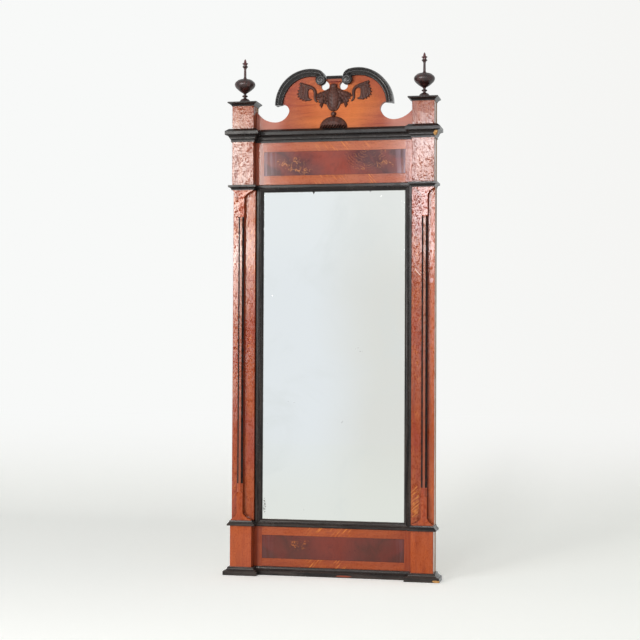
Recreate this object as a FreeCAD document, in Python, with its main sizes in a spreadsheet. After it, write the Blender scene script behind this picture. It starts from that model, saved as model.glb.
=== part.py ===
"""Tall pier mirror: a tenoned carcass with pilasters, cornice, arched crest and turned finials.

Every length is in millimetres and every angle in degrees. X runs across the mirror, Y runs from
the front to the wall and Z runs up. The origin is the middle of the carcass's underside.
"""
import FreeCAD, Part
import math
import os
import Sketcher

# Driving sizes
SIZES = {
    # carcass: two stiles and two rails, tenoned together
    "frame_thickness": 26.0,
    "tenon_length": 45.0,
    "tenon_thickness": 9.0,
    "tenon_shoulder": 15.0,
    "mortise_gap": 1.0,
    # glass and the opening behind the glass mouldings
    "sight_width": 502.0,
    "sight_height": 1144.6,
    "glass_lip": 8.0,
    "glass_gap": 1.5,
    "glass_thickness": 4.0,
    "wedge_leg": 10.0,
    "wedge_length": 60.0,
    # back boards and their nails
    "rebate_width": 12.0,
    "back_board_thickness": 9.0,
    "back_board_gap": 1.0,
    "nail_radius": 1.0,
    "nail_length": 24.0,
    "nail_head_radius": 3.0,
    "nail_head_thickness": 1.0,
    # glass mouldings
    "glass_moulding_width": 26.0,
    "glass_moulding_rise": 13.0,
    # veneered fields above and below the glass
    "veneer_thickness": 1.5,
    "base_field_height": 139.2,
    "frieze_field_height": 149.2,
    "side_banding": 28.5,
    "frieze_top_banding": 32.5,
    "frieze_bottom_banding": 32.5,
    "base_top_banding": 30.5,
    "base_bottom_banding": 28.0,
    # pilasters, from the floor up
    "block_width": 77.0,
    "block_thickness": 42.5,
    "block_arris": 0.8,
    "plinth_height": 28.8,
    "plinth_side_overhang": 22.5,
    "plinth_front_overhang": 13.0,
    "plinth_run_overhang": 20.0,
    "lower_band_height": 18.1,
    "lower_band_below_sight": 4.0,
    "lower_band_side_overhang": 10.3,
    "lower_band_front_overhang": 7.0,
    "ground_lip": 3.0,
    "ground_thickness": 21.0,
    "neck_band_above_sight": 6.6,
    "neck_band_height": 16.4,
    "neck_band_side_overhang": 11.1,
    "neck_band_front_overhang": 13.0,
    "cornice_height": 45.6,
    "cornice_overhang": 21.7,
    "cornice_run_overhang": 19.5,
    "cap_height": 14.3,
    "cap_side_overhang": 13.6,
    "cap_front_overhang": 16.0,
    # applied pilaster strips
    "strip_width": 21.0,
    "strip_thickness": 18.5,
    "strip_shift": 5.4,
    "strip_head_outer": 31.5,
    "strip_head_inner": 41.0,
    "strip_head_height": 3.0,
    "strip_flare_height": 22.5,
    "strip_neck_height": 73.0,
    "strip_chamfer": 6.6,
    "strip_chamfer_runout": 6.5,
    # finials
    "finial_height": 156.2,
    "finial_radius": 36.3,
    "finial_pin_radius": 5.0,
    "finial_pin_length": 12.0,
    # crest
    "crest_thickness": 20.0,
    "crest_side_gap": 0.5,
    "crest_dowel_radius": 5.0,
    "crest_dowel_length": 50.0,
    "eye_hole_radius": 15.0,
    "arch_width": 26.0,
    "arch_rise": 21.0,
    "arch_lap": 6.0,
    "curl_gap": 4.0,
    "arch_sweep": 104.0,
    "curl_sweep": 100.0,
    "scroll_boss_radius": 18.5,
    "scroll_boss_edge": 7.0,
    "scroll_eye_radius": 6.5,
    "scroll_eye_rise": 3.0,
    "scroll_eye_edge": 2.0,
    "bar_height": 10.5,
    "bar_seat_drop": 2.5,
    "bar_overhang": 6.0,
    "bar_end_gap": 0.3,
    "urn_relief": 14.0,
    "leaf_relief": 8.0,
    "foot_relief": 14.0,
    "bead_sink": 2.5,
    "spray_relief": 7.0,
    # hangers on the back
    "hanger_below_cap": 40.0,
    "hanger_plate_width": 24.0,
    "hanger_plate_length": 46.0,
    "hanger_plate_thickness": 2.0,
    "hanger_plate_corner": 5.0,
    "hanger_knuckle_length": 18.0,
    "hanger_screw_inset": 9.0,
    "hanger_screw_pitch": 21.0,
    "ring_wire_radius": 2.0,
    "ring_half_bar": 11.0,
    "ring_corner": 4.0,
    "ring_clearance": 0.3,
    "screw_radius": 1.9,
    "screw_head_radius": 3.8,
    "screw_length": 18.0,
    # shared clearances
    "fit_gap": 0.2,
    "overrun": 5.0,
}

# Moulding profiles from the bottom up: share of the overhang, share of the height, and how far
# the edge to the next corner bows outwards as a share of its own length
PLINTH_PROFILE_SHARES = [
    (1.00, 0.00, 0.0), (1.00, 0.48, 0.0), (0.86, 0.50, 0.0), (0.86, 0.57, -0.2),
    (0.36, 0.86, 0.0), (0.36, 0.93, 0.15), (0.28, 1.00, 0.0)]
LOWER_BAND_PROFILE_SHARES = [
    (1.00, 0.00, 0.0), (1.00, 0.26, 0.0), (0.90, 0.34, -0.08), (0.14, 0.94, 0.0), (0.14, 1.00, 0.0)]
NECK_BAND_PROFILE_SHARES = [
    (0.18, 0.00, 0.0), (0.18, 0.12, -0.2), (0.84, 0.54, 0.0), (1.00, 0.58, 0.0), (1.00, 1.00, 0.0)]
CORNICE_PROFILE_SHARES = [
    (0.17, 0.00, 0.0), (0.17, 0.09, -0.2), (0.34, 0.24, 0.0), (0.34, 0.31, 0.0), (0.42, 0.33, -0.2),
    (0.82, 0.50, 0.0), (0.90, 0.51, 0.2), (1.00, 0.58, 0.0), (1.00, 0.78, 0.15), (0.93, 0.83, 0.0),
    (0.45, 1.00, 0.0)]
CAP_PROFILE_SHARES = [
    (0.12, 0.00, 0.0), (0.12, 0.08, -0.12), (0.88, 0.66, 0.0), (1.00, 0.70, 0.0), (1.00, 0.96, 0.0),
    (0.96, 1.00, 0.0)]
# From the sight edge outwards: share of the width, share of the rise, bow
GLASS_MOULDING_SHARES = [
    (0.00, 0.00, 0.0), (1.00, 0.00, 0.0), (1.00, 0.58, 0.0), (0.92, 0.72, 0.0), (0.64, 0.72, 0.0),
    (0.60, 0.62, 0.0), (0.56, 0.62, 0.0), (0.53, 0.76, 0.42), (0.35, 0.76, 0.0), (0.33, 0.70, -0.12),
    (0.00, 0.22, 0.0)]
# From the inner edge outwards: share of the width, share of the rise, bow
ARCH_PROFILE_SHARES = [
    (0.00, 0.00, 0.0), (1.00, 0.00, 0.0), (1.00, 0.86, 0.2), (0.96, 0.92, 0.0), (0.83, 0.92, 0.0),
    (0.80, 0.66, 0.0), (0.76, 0.66, 0.0), (0.73, 0.74, 0.3), (0.20, 0.60, 0.0), (0.16, 0.46, 0.0),
    (0.10, 0.46, 0.0), (0.00, 0.36, 0.0)]
# Turned finial from the cap up: share of the radius, share of the height, bow
FINIAL_PROFILE_SHARES = [
    (0.53, 0.000, 0.0), (0.53, 0.018, 0.17), (0.16, 0.104, 0.0), (0.14, 0.116, 0.0),
    (0.14, 0.132, 0.0), (0.21, 0.138, 0.42), (0.21, 0.172, 0.0), (0.13, 0.178, 0.0),
    (0.13, 0.198, -0.08), (0.19, 0.222, 0.04), (0.80, 0.328, 0.10), (1.00, 0.416, 0.13),
    (0.82, 0.490, 0.08), (0.56, 0.528, 0.0), (0.22, 0.548, -0.14), (0.125, 0.610, 0.0),
    (0.115, 0.730, -0.08), (0.165, 0.794, 0.0), (0.22, 0.808, 0.40), (0.22, 0.838, 0.0),
    (0.17, 0.846, 0.0), (0.18, 0.866, -0.10), (0.255, 0.884, 0.35), (0.255, 0.902, 0.0),
    (0.15, 0.912, 0.0), (0.12, 0.932, 0.08), (0.04, 0.990, 0.0)]
# Urn from its point up: share of the height, share of the half width, share of the relief
URN_SECTION_SHARES = [
    (0.00, 0.16, 0.30), (0.05, 0.36, 0.52), (0.15, 0.62, 0.80), (0.28, 0.86, 0.94),
    (0.43, 1.00, 1.00), (0.56, 0.96, 0.97), (0.68, 0.68, 0.80), (0.78, 0.44, 0.62),
    (0.85, 0.42, 0.58), (0.91, 0.56, 0.66), (0.96, 0.52, 0.60), (1.00, 0.26, 0.36)]
# Foot from the cornice up, in the same shares
FOOT_SECTION_SHARES = [
    (0.00, 0.99, 1.00), (0.20, 1.00, 1.00), (0.44, 0.94, 0.96), (0.62, 0.83, 0.88),
    (0.76, 0.67, 0.80), (0.87, 0.48, 0.68), (0.96, 0.26, 0.52), (1.00, 0.16, 0.44)]
# Drooping leaf of the urn: share of the reach, share of the urn's height above its point, bow
LEAF_OUTLINE_SHARES = [
    (0.16, 0.735, 0.06), (0.50, 0.700, 0.10), (0.93, 0.575, 0.16), (1.00, 0.485, 0.14),
    (0.92, 0.375, 0.16), (0.86, 0.270, 0.12), (0.75, 0.120, 0.10), (0.64, 0.250, -0.12),
    (0.50, 0.270, 0.10), (0.38, 0.200, -0.10), (0.22, 0.330, 0.0)]
# Scrolled stem and hanging leaf: share of the way out, share of the height, bow
SPRAY_OUTLINE_SHARES = [
    (0.00, 0.000, 0.0), (0.09, 0.000, 0.10), (0.08, 0.420, -0.10), (0.12, 0.660, -0.22),
    (0.34, 0.740, 0.0), (0.44, 0.640, -0.06), (0.52, 0.420, -0.14), (0.46, 0.180, -0.10),
    (0.28, 0.080, 0.10), (0.42, 0.030, 0.16), (0.66, 0.060, 0.20), (0.80, 0.180, 0.22),
    (1.00, 0.300, 0.22), (0.96, 0.520, 0.20), (0.93, 0.680, 0.10), (0.86, 0.990, -0.06),
    (0.62, 0.850, -0.06), (0.36, 0.860, 0.16), (0.08, 0.760, 0.16), (0.00, 0.480, 0.10)]

# Lengths of the crest as shares of the distance from the mirror's middle to a post
CREST_SHARES = {
    "pedestal_height_share": 0.288,
    "crest_dowel_spacing_share": 0.607,
    # notch by the post, from the post round to the foot of the arch
    "notch_post_up_share": 0.232,
    "notch_low_out_share": 0.764,
    "notch_low_up_share": 0.094,
    "notch_inner_out_share": 0.577,
    "notch_inner_up_share": 0.227,
    "notch_top_out_share": 0.648,
    "notch_top_up_share": 0.317,
    # pierced hole by the scroll
    "eye_hole_out_share": 0.116,
    "eye_hole_up_share": 0.532,
    # arched mouldings, from the foot to the rolled end
    "arch_centre_out_share": 0.302,
    "arch_centre_up_share": 0.299,
    "arch_radius_share": 0.445,
    "scroll_boss_out_share": 0.166,
    "scroll_boss_up_share": 0.602,
    # carving
    "urn_base_share": 0.211,
    "urn_height_share": 0.348,
    "urn_radius_share": 0.089,
    "leaf_reach_share": 0.221,
    "foot_width_share": 0.332,
    "foot_height_share": 0.152,
    "spray_start_share": 0.237,
    "spray_reach_share": 0.468,
    "spray_base_share": 0.355,
    "spray_height_share": 0.225,
}
# How far each side of the notch bows into the crest board, as a share of its chord
NOTCH_BOW_SHARES = (-0.12, -0.18, -0.18)
# The bar's profile from its lower front edge up: share of the overhang, share of the height, bow
BAR_PROFILE_SHARES = [(0.7, 1.0, -0.2), (1.0, 0.8, 0.0), (1.0, 0.5, 0.2), (0.2, 0.2, 0.0), (0.2, 0.0, 0.0)]
# Countersink as a share of the screw head's own rim
COUNTERSINK_SHARE = 0.98
# How near two points of a model count as one
TOUCH = 1e-3
NAIL_COUNT = 6
BACK_BOARD_COUNT = 3
SIDE_WEDGE_SHARES = (0.12, 0.5, 0.88)
RAIL_WEDGE_SHARES = (0.25, 0.75)


class Size:
    """A cell of the sheet, or a sum of cells: its formula and its value."""

    def __init__(self, formula, value):
        self.formula = formula
        self.value = value

    def join(self, sign, other, value):
        return Size(f"({self.formula} {sign} {other.formula})", value)

    def __add__(self, other):
        other = as_size(other)
        return self.join("+", other, self.value + other.value)

    def __sub__(self, other):
        other = as_size(other)
        return self.join("-", other, self.value - other.value)

    def __mul__(self, other):
        other = as_size(other)
        return self.join("*", other, self.value * other.value)

    def __truediv__(self, other):
        other = as_size(other)
        return self.join("/", other, self.value / other.value)

    def __neg__(self):
        return Size(f"(0 - {self.formula})", -self.value)

    def root(self):
        return Size(f"sqrt({self.formula})", math.sqrt(self.value))

    def cos(self):
        return Size(f"cos({self.formula})", math.cos(math.radians(self.value)))

    def sin(self):
        return Size(f"sin({self.formula})", math.sin(math.radians(self.value)))

    def tan(self):
        return Size(f"tan({self.formula})", math.tan(math.radians(self.value)))

    def arcsine(self):
        return Size(f"(asin({self.formula}) / 1 deg)", math.degrees(math.asin(self.value)))


def as_size(item):
    return item if isinstance(item, Size) else Size(f"{float(item):.6f}", float(item))


class Cells:
    """The sheet's cells as attributes."""


doc = FreeCAD.newDocument("pier_mirror")
sheet = doc.addObject("Spreadsheet::Sheet", "Sizes")
cell = Cells()
for row, (alias, number) in enumerate(SIZES.items(), start=1):
    sheet.set(f"A{row}", alias)
    sheet.set(f"B{row}", str(number))
    sheet.setAlias(f"B{row}", alias)
    setattr(cell, alias, Size(f"Sizes.{alias}", number))
doc.recompute()
ZERO = as_size(0)
NODES = []

# Planes across the depth
carcass_front = -cell.frame_thickness / 2
carcass_back = cell.frame_thickness / 2
veneer_front = carcass_front - cell.veneer_thickness
ground_front = carcass_front - cell.ground_thickness
block_front = carcass_front - cell.block_thickness

# The glass opening and the places across the mirror that follow from it
sight_half = cell.sight_width / 2
opening_half = sight_half + cell.glass_lip
post_inner = sight_half + cell.glass_moulding_width + cell.ground_lip
frame_half = post_inner + cell.block_width
post_middle = frame_half - cell.block_width / 2
for name, share in CREST_SHARES.items():
    setattr(cell, name.removesuffix("_share"), post_inner * share)
curl_radius = cell.arch_width + cell.curl_gap

# Levels above the floor
moulding_base = cell.plinth_height + cell.base_field_height
sight_base = moulding_base + cell.glass_moulding_width
sight_top = sight_base + cell.sight_height
moulding_top = sight_top + cell.glass_moulding_width
opening_base = sight_base - cell.glass_lip
opening_top = sight_top + cell.glass_lip
ground_base = sight_base - cell.lower_band_below_sight
lower_band_base = ground_base - cell.lower_band_height
neck_band_base = sight_top + cell.neck_band_above_sight
frieze_block_base = neck_band_base + cell.neck_band_height
cornice_base = moulding_top + cell.frieze_field_height
pedestal_base = cornice_base + cell.cornice_height
cap_base = pedestal_base + cell.pedestal_height
finial_base = cap_base + cell.cap_height
hanger_level = cap_base - cell.hanger_below_cap
glass_back = carcass_front + cell.glass_thickness


def bind(item, name, size):
    item.setExpression(name, as_size(size).formula)


def place(item, x, y, z, turn=None):
    """Stand a piece at x, y, z, turned by the given rotation."""
    spot = [as_size(size) for size in (x, y, z)]
    item.Placement = FreeCAD.Placement(
        FreeCAD.Vector(*[size.value for size in spot]), turn or FreeCAD.Rotation())
    for axis, size in zip("xyz", spot):
        bind(item, f"Placement.Base.{axis}", size)


def node(item, label):
    """Keep the item as a sub-part under its own name."""
    item.Label = label
    NODES.append(item)
    return item


def twin(item, label):
    """The same sub-part on the other side of the middle plane."""
    copy = doc.addObject("Part::Mirroring", label)
    copy.Source = item
    copy.Normal = FreeCAD.Vector(1, 0, 0)
    return node(copy, label)


def new_body(name):
    return doc.addObject("PartDesign::Body", name)


def new_sketch(body, role, offset=(0, 0, 0), turn=None):
    """A sketch on one of the body's own planes, moved by the offset in the plane's own axes."""
    sketch = body.newObject("Sketcher::SketchObject", "outline")
    plane = [part for part in body.Origin.OriginFeatures if part.Role == role][0]
    sketch.AttachmentSupport = (plane, [""])
    sketch.MapMode = "FlatFace"
    spot = [as_size(size) for size in offset]
    sketch.AttachmentOffset = FreeCAD.Placement(
        FreeCAD.Vector(*[size.value for size in spot]), turn or FreeCAD.Rotation())
    for axis, size in zip("xyz", spot):
        if size.formula != ZERO.formula:
            bind(sketch, f"AttachmentOffset.Base.{axis}", size)
    return sketch


def fix_point(sketch, rules, geometry, end, across, up):
    """Rules that hold one point of the sketch at its sizes."""
    for kind, axis, size in (("DistanceX", -2, across), ("DistanceY", -1, up)):
        if size.formula == ZERO.formula:
            rules.append((Sketcher.Constraint("PointOnObject", geometry, end, axis), None))
        else:
            rules.append((Sketcher.Constraint(kind, -1, 1, geometry, end, size.value), size))


def apply_rules(sketch, rules):
    first = sketch.ConstraintCount
    sketch.addConstraint([rule for rule, size in rules])
    for number, (rule, size) in enumerate(rules, start=first):
        if size is not None:
            bind(sketch, f"Constraints[{number}]", size)


def outline(sketch, corners):
    """Close the corners into one wire. A corner is (across, up) or (across, up, bow), and a bow
    makes the edge to the next corner an arc that stands out to the right of the way."""
    corners = [(as_size(c[0]), as_size(c[1]), c[2] if len(c) > 2 else 0) for c in corners]
    first = sketch.GeometryCount
    edges = []
    ends = []
    radii = []
    for number, (across, up, bow) in enumerate(corners):
        next_across, next_up, unused = corners[(number + 1) % len(corners)]
        start = FreeCAD.Vector(across.value, up.value, 0)
        stop = FreeCAD.Vector(next_across.value, next_up.value, 0)
        share = bow.value if isinstance(bow, Size) else bow
        if share == 0:
            edges.append(Part.LineSegment(start, stop))
            ends.append((1, 2))
            continue
        way = stop - start
        middle = (start + stop) / 2 + FreeCAD.Vector(way.y, -way.x, 0) * share
        rising = share > 0
        edges.append(Part.Arc(start, middle, stop) if rising else Part.Arc(stop, middle, start))
        ends.append((1, 2) if rising else (2, 1))
        bow = as_size(bow) if rising else -as_size(bow)
        chord_squared = ((next_across - across) * (next_across - across)
                         + (next_up - up) * (next_up - up))
        radius = chord_squared.root() * (bow * bow * 4 + 1) / (bow * 8)
        radii.append((first + number, radius))
    sketch.addGeometry(edges, False)
    rules = []
    for number, (across, up, bow) in enumerate(corners):
        following = (number + 1) % len(corners)
        meeting = Sketcher.Constraint(
            "Coincident", first + number, ends[number][1], first + following, ends[following][0])
        rules.append((meeting, None))
        fix_point(sketch, rules, first + number, ends[number][0], across, up)
    for geometry, radius in radii:
        rules.append((Sketcher.Constraint("Radius", geometry, radius.value), radius))
    apply_rules(sketch, rules)
    return sketch


def circle(sketch, across, up, radius):
    across, up, radius = as_size(across), as_size(up), as_size(radius)
    number = sketch.GeometryCount
    centre = FreeCAD.Vector(across.value, up.value, 0)
    sketch.addGeometry(Part.Circle(centre, FreeCAD.Vector(0, 0, 1), radius.value), False)
    rules = [(Sketcher.Constraint("Radius", number, radius.value), radius)]
    fix_point(sketch, rules, number, 3, across, up)
    apply_rules(sketch, rules)
    return sketch


def box_corners(low_across, low_up, high_across, high_up):
    return [(low_across, low_up), (high_across, low_up), (high_across, high_up), (low_across, high_up)]


def feature(body, kind, sketch, sizes, **settings):
    """A feature on a sketch, with its sizes bound and its other settings as given."""
    item = body.newObject("PartDesign::" + kind, kind.lower())
    item.Profile = sketch
    for name, setting in settings.items():
        setattr(item, name, setting)
    for name, size in sizes.items():
        bind(item, name, size)
    return item


def pad(body, sketch, length, **settings):
    return feature(body, "Pad", sketch, {"Length": length}, **settings)


def pocket(body, sketch, length, **settings):
    return feature(body, "Pocket", sketch, {"Length": length}, **settings)


def revolve(body, sketch, angle, reverse=False):
    return feature(body, "Revolution", sketch, {"Angle": angle},
                   ReferenceAxis=(sketch, ["V_Axis"]), Reversed=reverse)


def edges_where(item, test):
    """Names of the straight edges of the item whose two ends pass the test."""
    doc.recompute()
    names = []
    for number, edge in enumerate(item.Shape.Edges, start=1):
        points = [vertex.Point for vertex in edge.Vertexes]
        if len(points) == 2 and test(*points):
            names.append(f"Edge{number}")
    return names


def break_edges(body, item, names, size):
    """A small flat along the named edges."""
    flat = body.newObject("PartDesign::Chamfer", "arris")
    flat.Base = (item, names)
    bind(flat, "Size", size)
    return flat


def front_uprights(depth):
    """Test for upright edges that stand on the plane at the given depth."""
    return lambda a, b: (abs(a.y - depth) < TOUCH and abs(b.y - depth) < TOUCH
                         and abs(a.x - b.x) < TOUCH)


def round_rims(item, depth):
    """Names of the item's round edges on the plane at the given depth."""
    doc.recompute()
    return [f"Edge{number}" for number, edge in enumerate(item.Shape.Edges, start=1)
            if len(edge.Vertexes) == 1 and abs(edge.Vertexes[0].Point.y - depth) < TOUCH]


def stile():
    """Right stile: an L-shaped post with two mortises, the back rebate and the bores for nails
    and hanger screws."""
    body = new_body("stile_right")
    shape = outline(new_sketch(body, "XZ_Plane"), [
        (opening_half, ZERO), (frame_half, ZERO), (frame_half, cap_base), (post_inner, cap_base),
        (post_inner, pedestal_base), (opening_half, pedestal_base)])
    pad(body, shape, cell.frame_thickness, SideType="Symmetric")
    mortises = new_sketch(body, "XZ_Plane")
    for low, high in ((ZERO, opening_base), (opening_top, pedestal_base)):
        outline(mortises, box_corners(
            opening_half - cell.overrun, low + cell.tenon_shoulder,
            opening_half + cell.tenon_length + cell.mortise_gap, high - cell.tenon_shoulder))
    pocket(body, mortises, cell.tenon_thickness, SideType="Symmetric")
    rebate = outline(new_sketch(body, "XZ_Plane", (0, 0, -carcass_back)), box_corners(
        opening_half - cell.overrun, opening_base - cell.rebate_width,
        opening_half + cell.rebate_width, opening_top + cell.rebate_width))
    pocket(body, rebate, cell.back_board_thickness, Reversed=True)
    nails = new_sketch(body, "XZ_Plane", (0, 0, -carcass_back))
    for up in nail_levels():
        circle(nails, opening_half + cell.rebate_width / 2, up, cell.nail_radius + cell.fit_gap)
    pocket(body, nails, cell.nail_length, Reversed=True)
    screws = new_sketch(body, "XZ_Plane", (0, 0, -carcass_back))
    for up in screw_levels():
        circle(screws, post_middle, up, cell.screw_radius + cell.fit_gap)
    pocket(body, screws, cell.screw_length, Reversed=True)
    node(body, "stile_right")
    twin(body, "stile_left")


def rail(name, low, high, rebate_low, rebate_high, dowels):
    """A rail between the stiles with a tenon at each end and the rebate for the back boards."""
    body = new_body(name)
    shape = outline(new_sketch(body, "XZ_Plane"), box_corners(-opening_half, low, opening_half, high))
    pad(body, shape, cell.frame_thickness, SideType="Symmetric")
    reach = opening_half + cell.tenon_length
    tenons = outline(new_sketch(body, "XZ_Plane"), box_corners(
        -reach, low + cell.tenon_shoulder, reach, high - cell.tenon_shoulder))
    pad(body, tenons, cell.tenon_thickness, SideType="Symmetric")
    rebate = outline(new_sketch(body, "XZ_Plane", (0, 0, -carcass_back)), box_corners(
        -opening_half - cell.overrun, rebate_low, opening_half + cell.overrun, rebate_high))
    pocket(body, rebate, cell.back_board_thickness, Reversed=True)
    if dowels:
        bores = new_sketch(body, "XY_Plane", (0, 0, high))
        for across in dowel_places():
            circle(bores, across, crest_middle, cell.crest_dowel_radius + cell.fit_gap)
        pocket(body, bores, cell.crest_dowel_length / 2)
    node(body, name)


def nail_levels():
    """Heights of the nails, spread evenly over the back boards."""
    low = opening_base - cell.rebate_width
    length = opening_top - opening_base + cell.rebate_width * 2
    return [low + length * ((number + 0.5) / NAIL_COUNT) for number in range(NAIL_COUNT)]


def screw_levels():
    first = hanger_level - cell.hanger_screw_inset
    return [first - cell.hanger_screw_pitch * number for number in (0.0, 1.0)]


def dowel_places():
    return [cell.crest_dowel_spacing * number for number in (-1.0, 0.0, 1.0)]


def back_boards():
    """Softwood boards laid across the rebate, each bored for its nails."""
    low = opening_base - cell.rebate_width
    height = (opening_top - opening_base + cell.rebate_width * 2) / BACK_BOARD_COUNT
    half = opening_half + cell.rebate_width - cell.back_board_gap
    for number, name in enumerate(("back_board_lower", "back_board_middle", "back_board_upper")):
        body = new_body(name)
        base = low + height * number
        shape = outline(new_sketch(body, "XZ_Plane", (0, 0, -carcass_back)), box_corners(
            -half, base + cell.back_board_gap / 2, half, base + height - cell.back_board_gap / 2))
        pad(body, shape, cell.back_board_thickness)
        bores = new_sketch(body, "XZ_Plane", (0, 0, -carcass_back))
        for up in nail_levels():
            if base.value < up.value < (base + height).value:
                for side in (-1.0, 1.0):
                    circle(bores, (opening_half + cell.rebate_width / 2) * side, up,
                           cell.nail_radius + cell.fit_gap)
        pocket(body, bores, cell.nail_length, Reversed=True)
        node(body, name)


def round_pin(name, x, y, z, radius, length, turn):
    pin = doc.addObject("Part::Cylinder", name)
    bind(pin, "Radius", radius)
    bind(pin, "Height", length)
    place(pin, x, y, z, turn)
    return pin


def group(name, members):
    """Separate solids that share one name."""
    together = doc.addObject("Part::Compound", name)
    together.Links = members
    return node(together, name)


def joined(name, members):
    whole = doc.addObject("Part::MultiFuse", name)
    whole.Shapes = members
    return whole


def back_nails():
    """Round-headed nails that hold the back boards in the rebate."""
    inward = FreeCAD.Rotation(FreeCAD.Vector(1, 0, 0), 90)
    nails = []
    for side in (-1.0, 1.0):
        across = (opening_half + cell.rebate_width / 2) * side
        for up in nail_levels():
            shank = round_pin("nail_shank", across, carcass_back + cell.nail_head_thickness / 2, up,
                              cell.nail_radius, cell.nail_length, inward)
            head = round_pin("nail_head", across, carcass_back + cell.nail_head_thickness, up,
                             cell.nail_head_radius, cell.nail_head_thickness, inward)
            nails.append(joined("back_nail", [shank, head]))
    group("back_nails", nails)


def mirror_glass():
    """The silvered plate, held behind the lips of the mouldings."""
    body = new_body("mirror_glass")
    half = opening_half - cell.glass_gap
    shape = outline(new_sketch(body, "XZ_Plane"), box_corners(
        -half, opening_base + cell.glass_gap, half, opening_top - cell.glass_gap))
    pad(body, shape, cell.glass_thickness)
    place(body, 0, glass_back, 0)
    node(body, "mirror_glass")


def glass_wedges():
    """Softwood blocks wedged between the plate's back, the opening's edge and the back boards."""
    depth = carcass_back - cell.back_board_thickness - glass_back
    height = opening_top - opening_base
    spots = []
    for share in SIDE_WEDGE_SHARES:
        level = opening_base + height * share
        spots.append((-opening_half, level - cell.wedge_length / 2, 0))
        spots.append((opening_half, level + cell.wedge_length / 2, 180))
    for share in RAIL_WEDGE_SHARES:
        across = opening_half * (share * 2 - 1)
        spots.append((across + cell.wedge_length / 2, opening_base, -90))
        spots.append((across - cell.wedge_length / 2, opening_top, 90))
    wedges = []
    for across, up, angle in spots:
        wedge = doc.addObject("Part::Wedge", "glass_wedge")
        for name, size in (("Xmin", ZERO), ("Xmax", cell.wedge_leg), ("X2min", ZERO),
                           ("X2max", cell.wedge_leg / 4), ("Ymin", ZERO), ("Ymax", depth),
                           ("Zmin", ZERO), ("Zmax", cell.wedge_length), ("Z2min", ZERO),
                           ("Z2max", cell.wedge_length)):
            setattr(wedge, name, size.value)
            bind(wedge, name, size)
        place(wedge, across, glass_back, up, FreeCAD.Rotation(FreeCAD.Vector(0, 1, 0), angle))
        wedges.append(wedge)
    group("glass_wedges", wedges)


def glass_moulding(name, length, x, z, angle):
    """One mitred length: the sight edge lies on the body's X axis and the width runs down."""
    body = new_body(name)
    width = cell.glass_moulding_width
    rise = cell.glass_moulding_rise
    section = outline(new_sketch(body, "YZ_Plane"), [
        (-(rise * up), -(width * out), bow) for out, up, bow in GLASS_MOULDING_SHARES])
    pad(body, section, length + width * 2, SideType="Symmetric")
    mitres = new_sketch(body, "XZ_Plane")
    for side in (-1.0, 1.0):
        sight = length / 2 * side
        far = (length / 2 + width + cell.overrun) * side
        outline(mitres, [
            (sight - cell.overrun * side, cell.overrun), (far, cell.overrun), (far, -width - cell.overrun)])
    pocket(body, mitres, cell.glass_moulding_rise + cell.overrun, Reversed=True)
    place(body, x, carcass_front, z, FreeCAD.Rotation(FreeCAD.Vector(0, 1, 0), angle))
    return node(body, name)


def glass_mouldings():
    middle = sight_base + cell.sight_height / 2
    glass_moulding("glass_moulding_bottom", cell.sight_width, ZERO, sight_base, 0)
    glass_moulding("glass_moulding_top", cell.sight_width, ZERO, sight_top, 180)
    glass_moulding("glass_moulding_left", cell.sight_height, -sight_half, middle, 90)
    glass_moulding("glass_moulding_right", cell.sight_height, sight_half, middle, -90)


def veneered_field(name, low, high, bottom_banding, top_banding):
    """A burr panel and the four mitred strips of crossbanding round it."""
    outer = post_inner
    inner = post_inner - cell.side_banding
    panel_low = low + bottom_banding
    panel_high = high - top_banding
    panel = new_body(name + "_panel")
    pad(panel, outline(new_sketch(panel, "XZ_Plane"), box_corners(-inner, panel_low, inner, panel_high)),
        cell.veneer_thickness)
    place(panel, 0, carcass_front, 0)
    node(panel, name + "_panel")
    strips = []
    for corners in (
            [(-outer, low), (outer, low), (inner, panel_low), (-inner, panel_low)],
            [(outer, low), (outer, high), (inner, panel_high), (inner, panel_low)],
            [(outer, high), (-outer, high), (-inner, panel_high), (inner, panel_high)],
            [(-outer, high), (-outer, low), (-inner, panel_low), (-inner, panel_high)]):
        strip = new_body("banding_strip")
        pad(strip, outline(new_sketch(strip, "XZ_Plane"), corners), cell.veneer_thickness)
        place(strip, 0, carcass_front, 0)
        strips.append(strip)
    group(name + "_banding", strips)


def profile_corners(shares, base_out, overhang, height, way):
    """Corners up one side of a moulded block; way is 1.0 outwards or -1.0 into a coped end."""
    return [(base_out + overhang * (out * way), height * up, bow * way) for out, up, bow in shares]


def mirrored_loop(side):
    """The corners up one side, and the same corners down the other."""
    bows = [corner[2] for corner in side]
    back = [(-side[number][0], side[number][1], bows[number - 1] if number else 0.0)
            for number in reversed(range(len(side)))]
    return [(corner[0], corner[1], corner[2]) for corner in side] + back


def cut_front(body, shares, depth, overhang, height):
    """Take away all that stands in front of the profile along the front."""
    corners = [(-(depth + overhang * shares[-1][0]), height + cell.overrun, 0.0)]
    for number in reversed(range(len(shares))):
        out, up, unused = shares[number]
        bow = shares[number - 1][2] if number else 0.0
        corners.append((-(depth + overhang * out), height * up, bow))
    corners.append((-(depth + overhang * shares[0][0]), -cell.overrun, 0.0))
    far = -(depth + overhang + cell.overrun * 2)
    corners.append((far, -cell.overrun, 0.0))
    corners.append((far, height + cell.overrun, 0.0))
    sketch = outline(new_sketch(body, "YZ_Plane"), corners)
    pocket(body, sketch, frame_half * 4, SideType="Symmetric")


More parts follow.
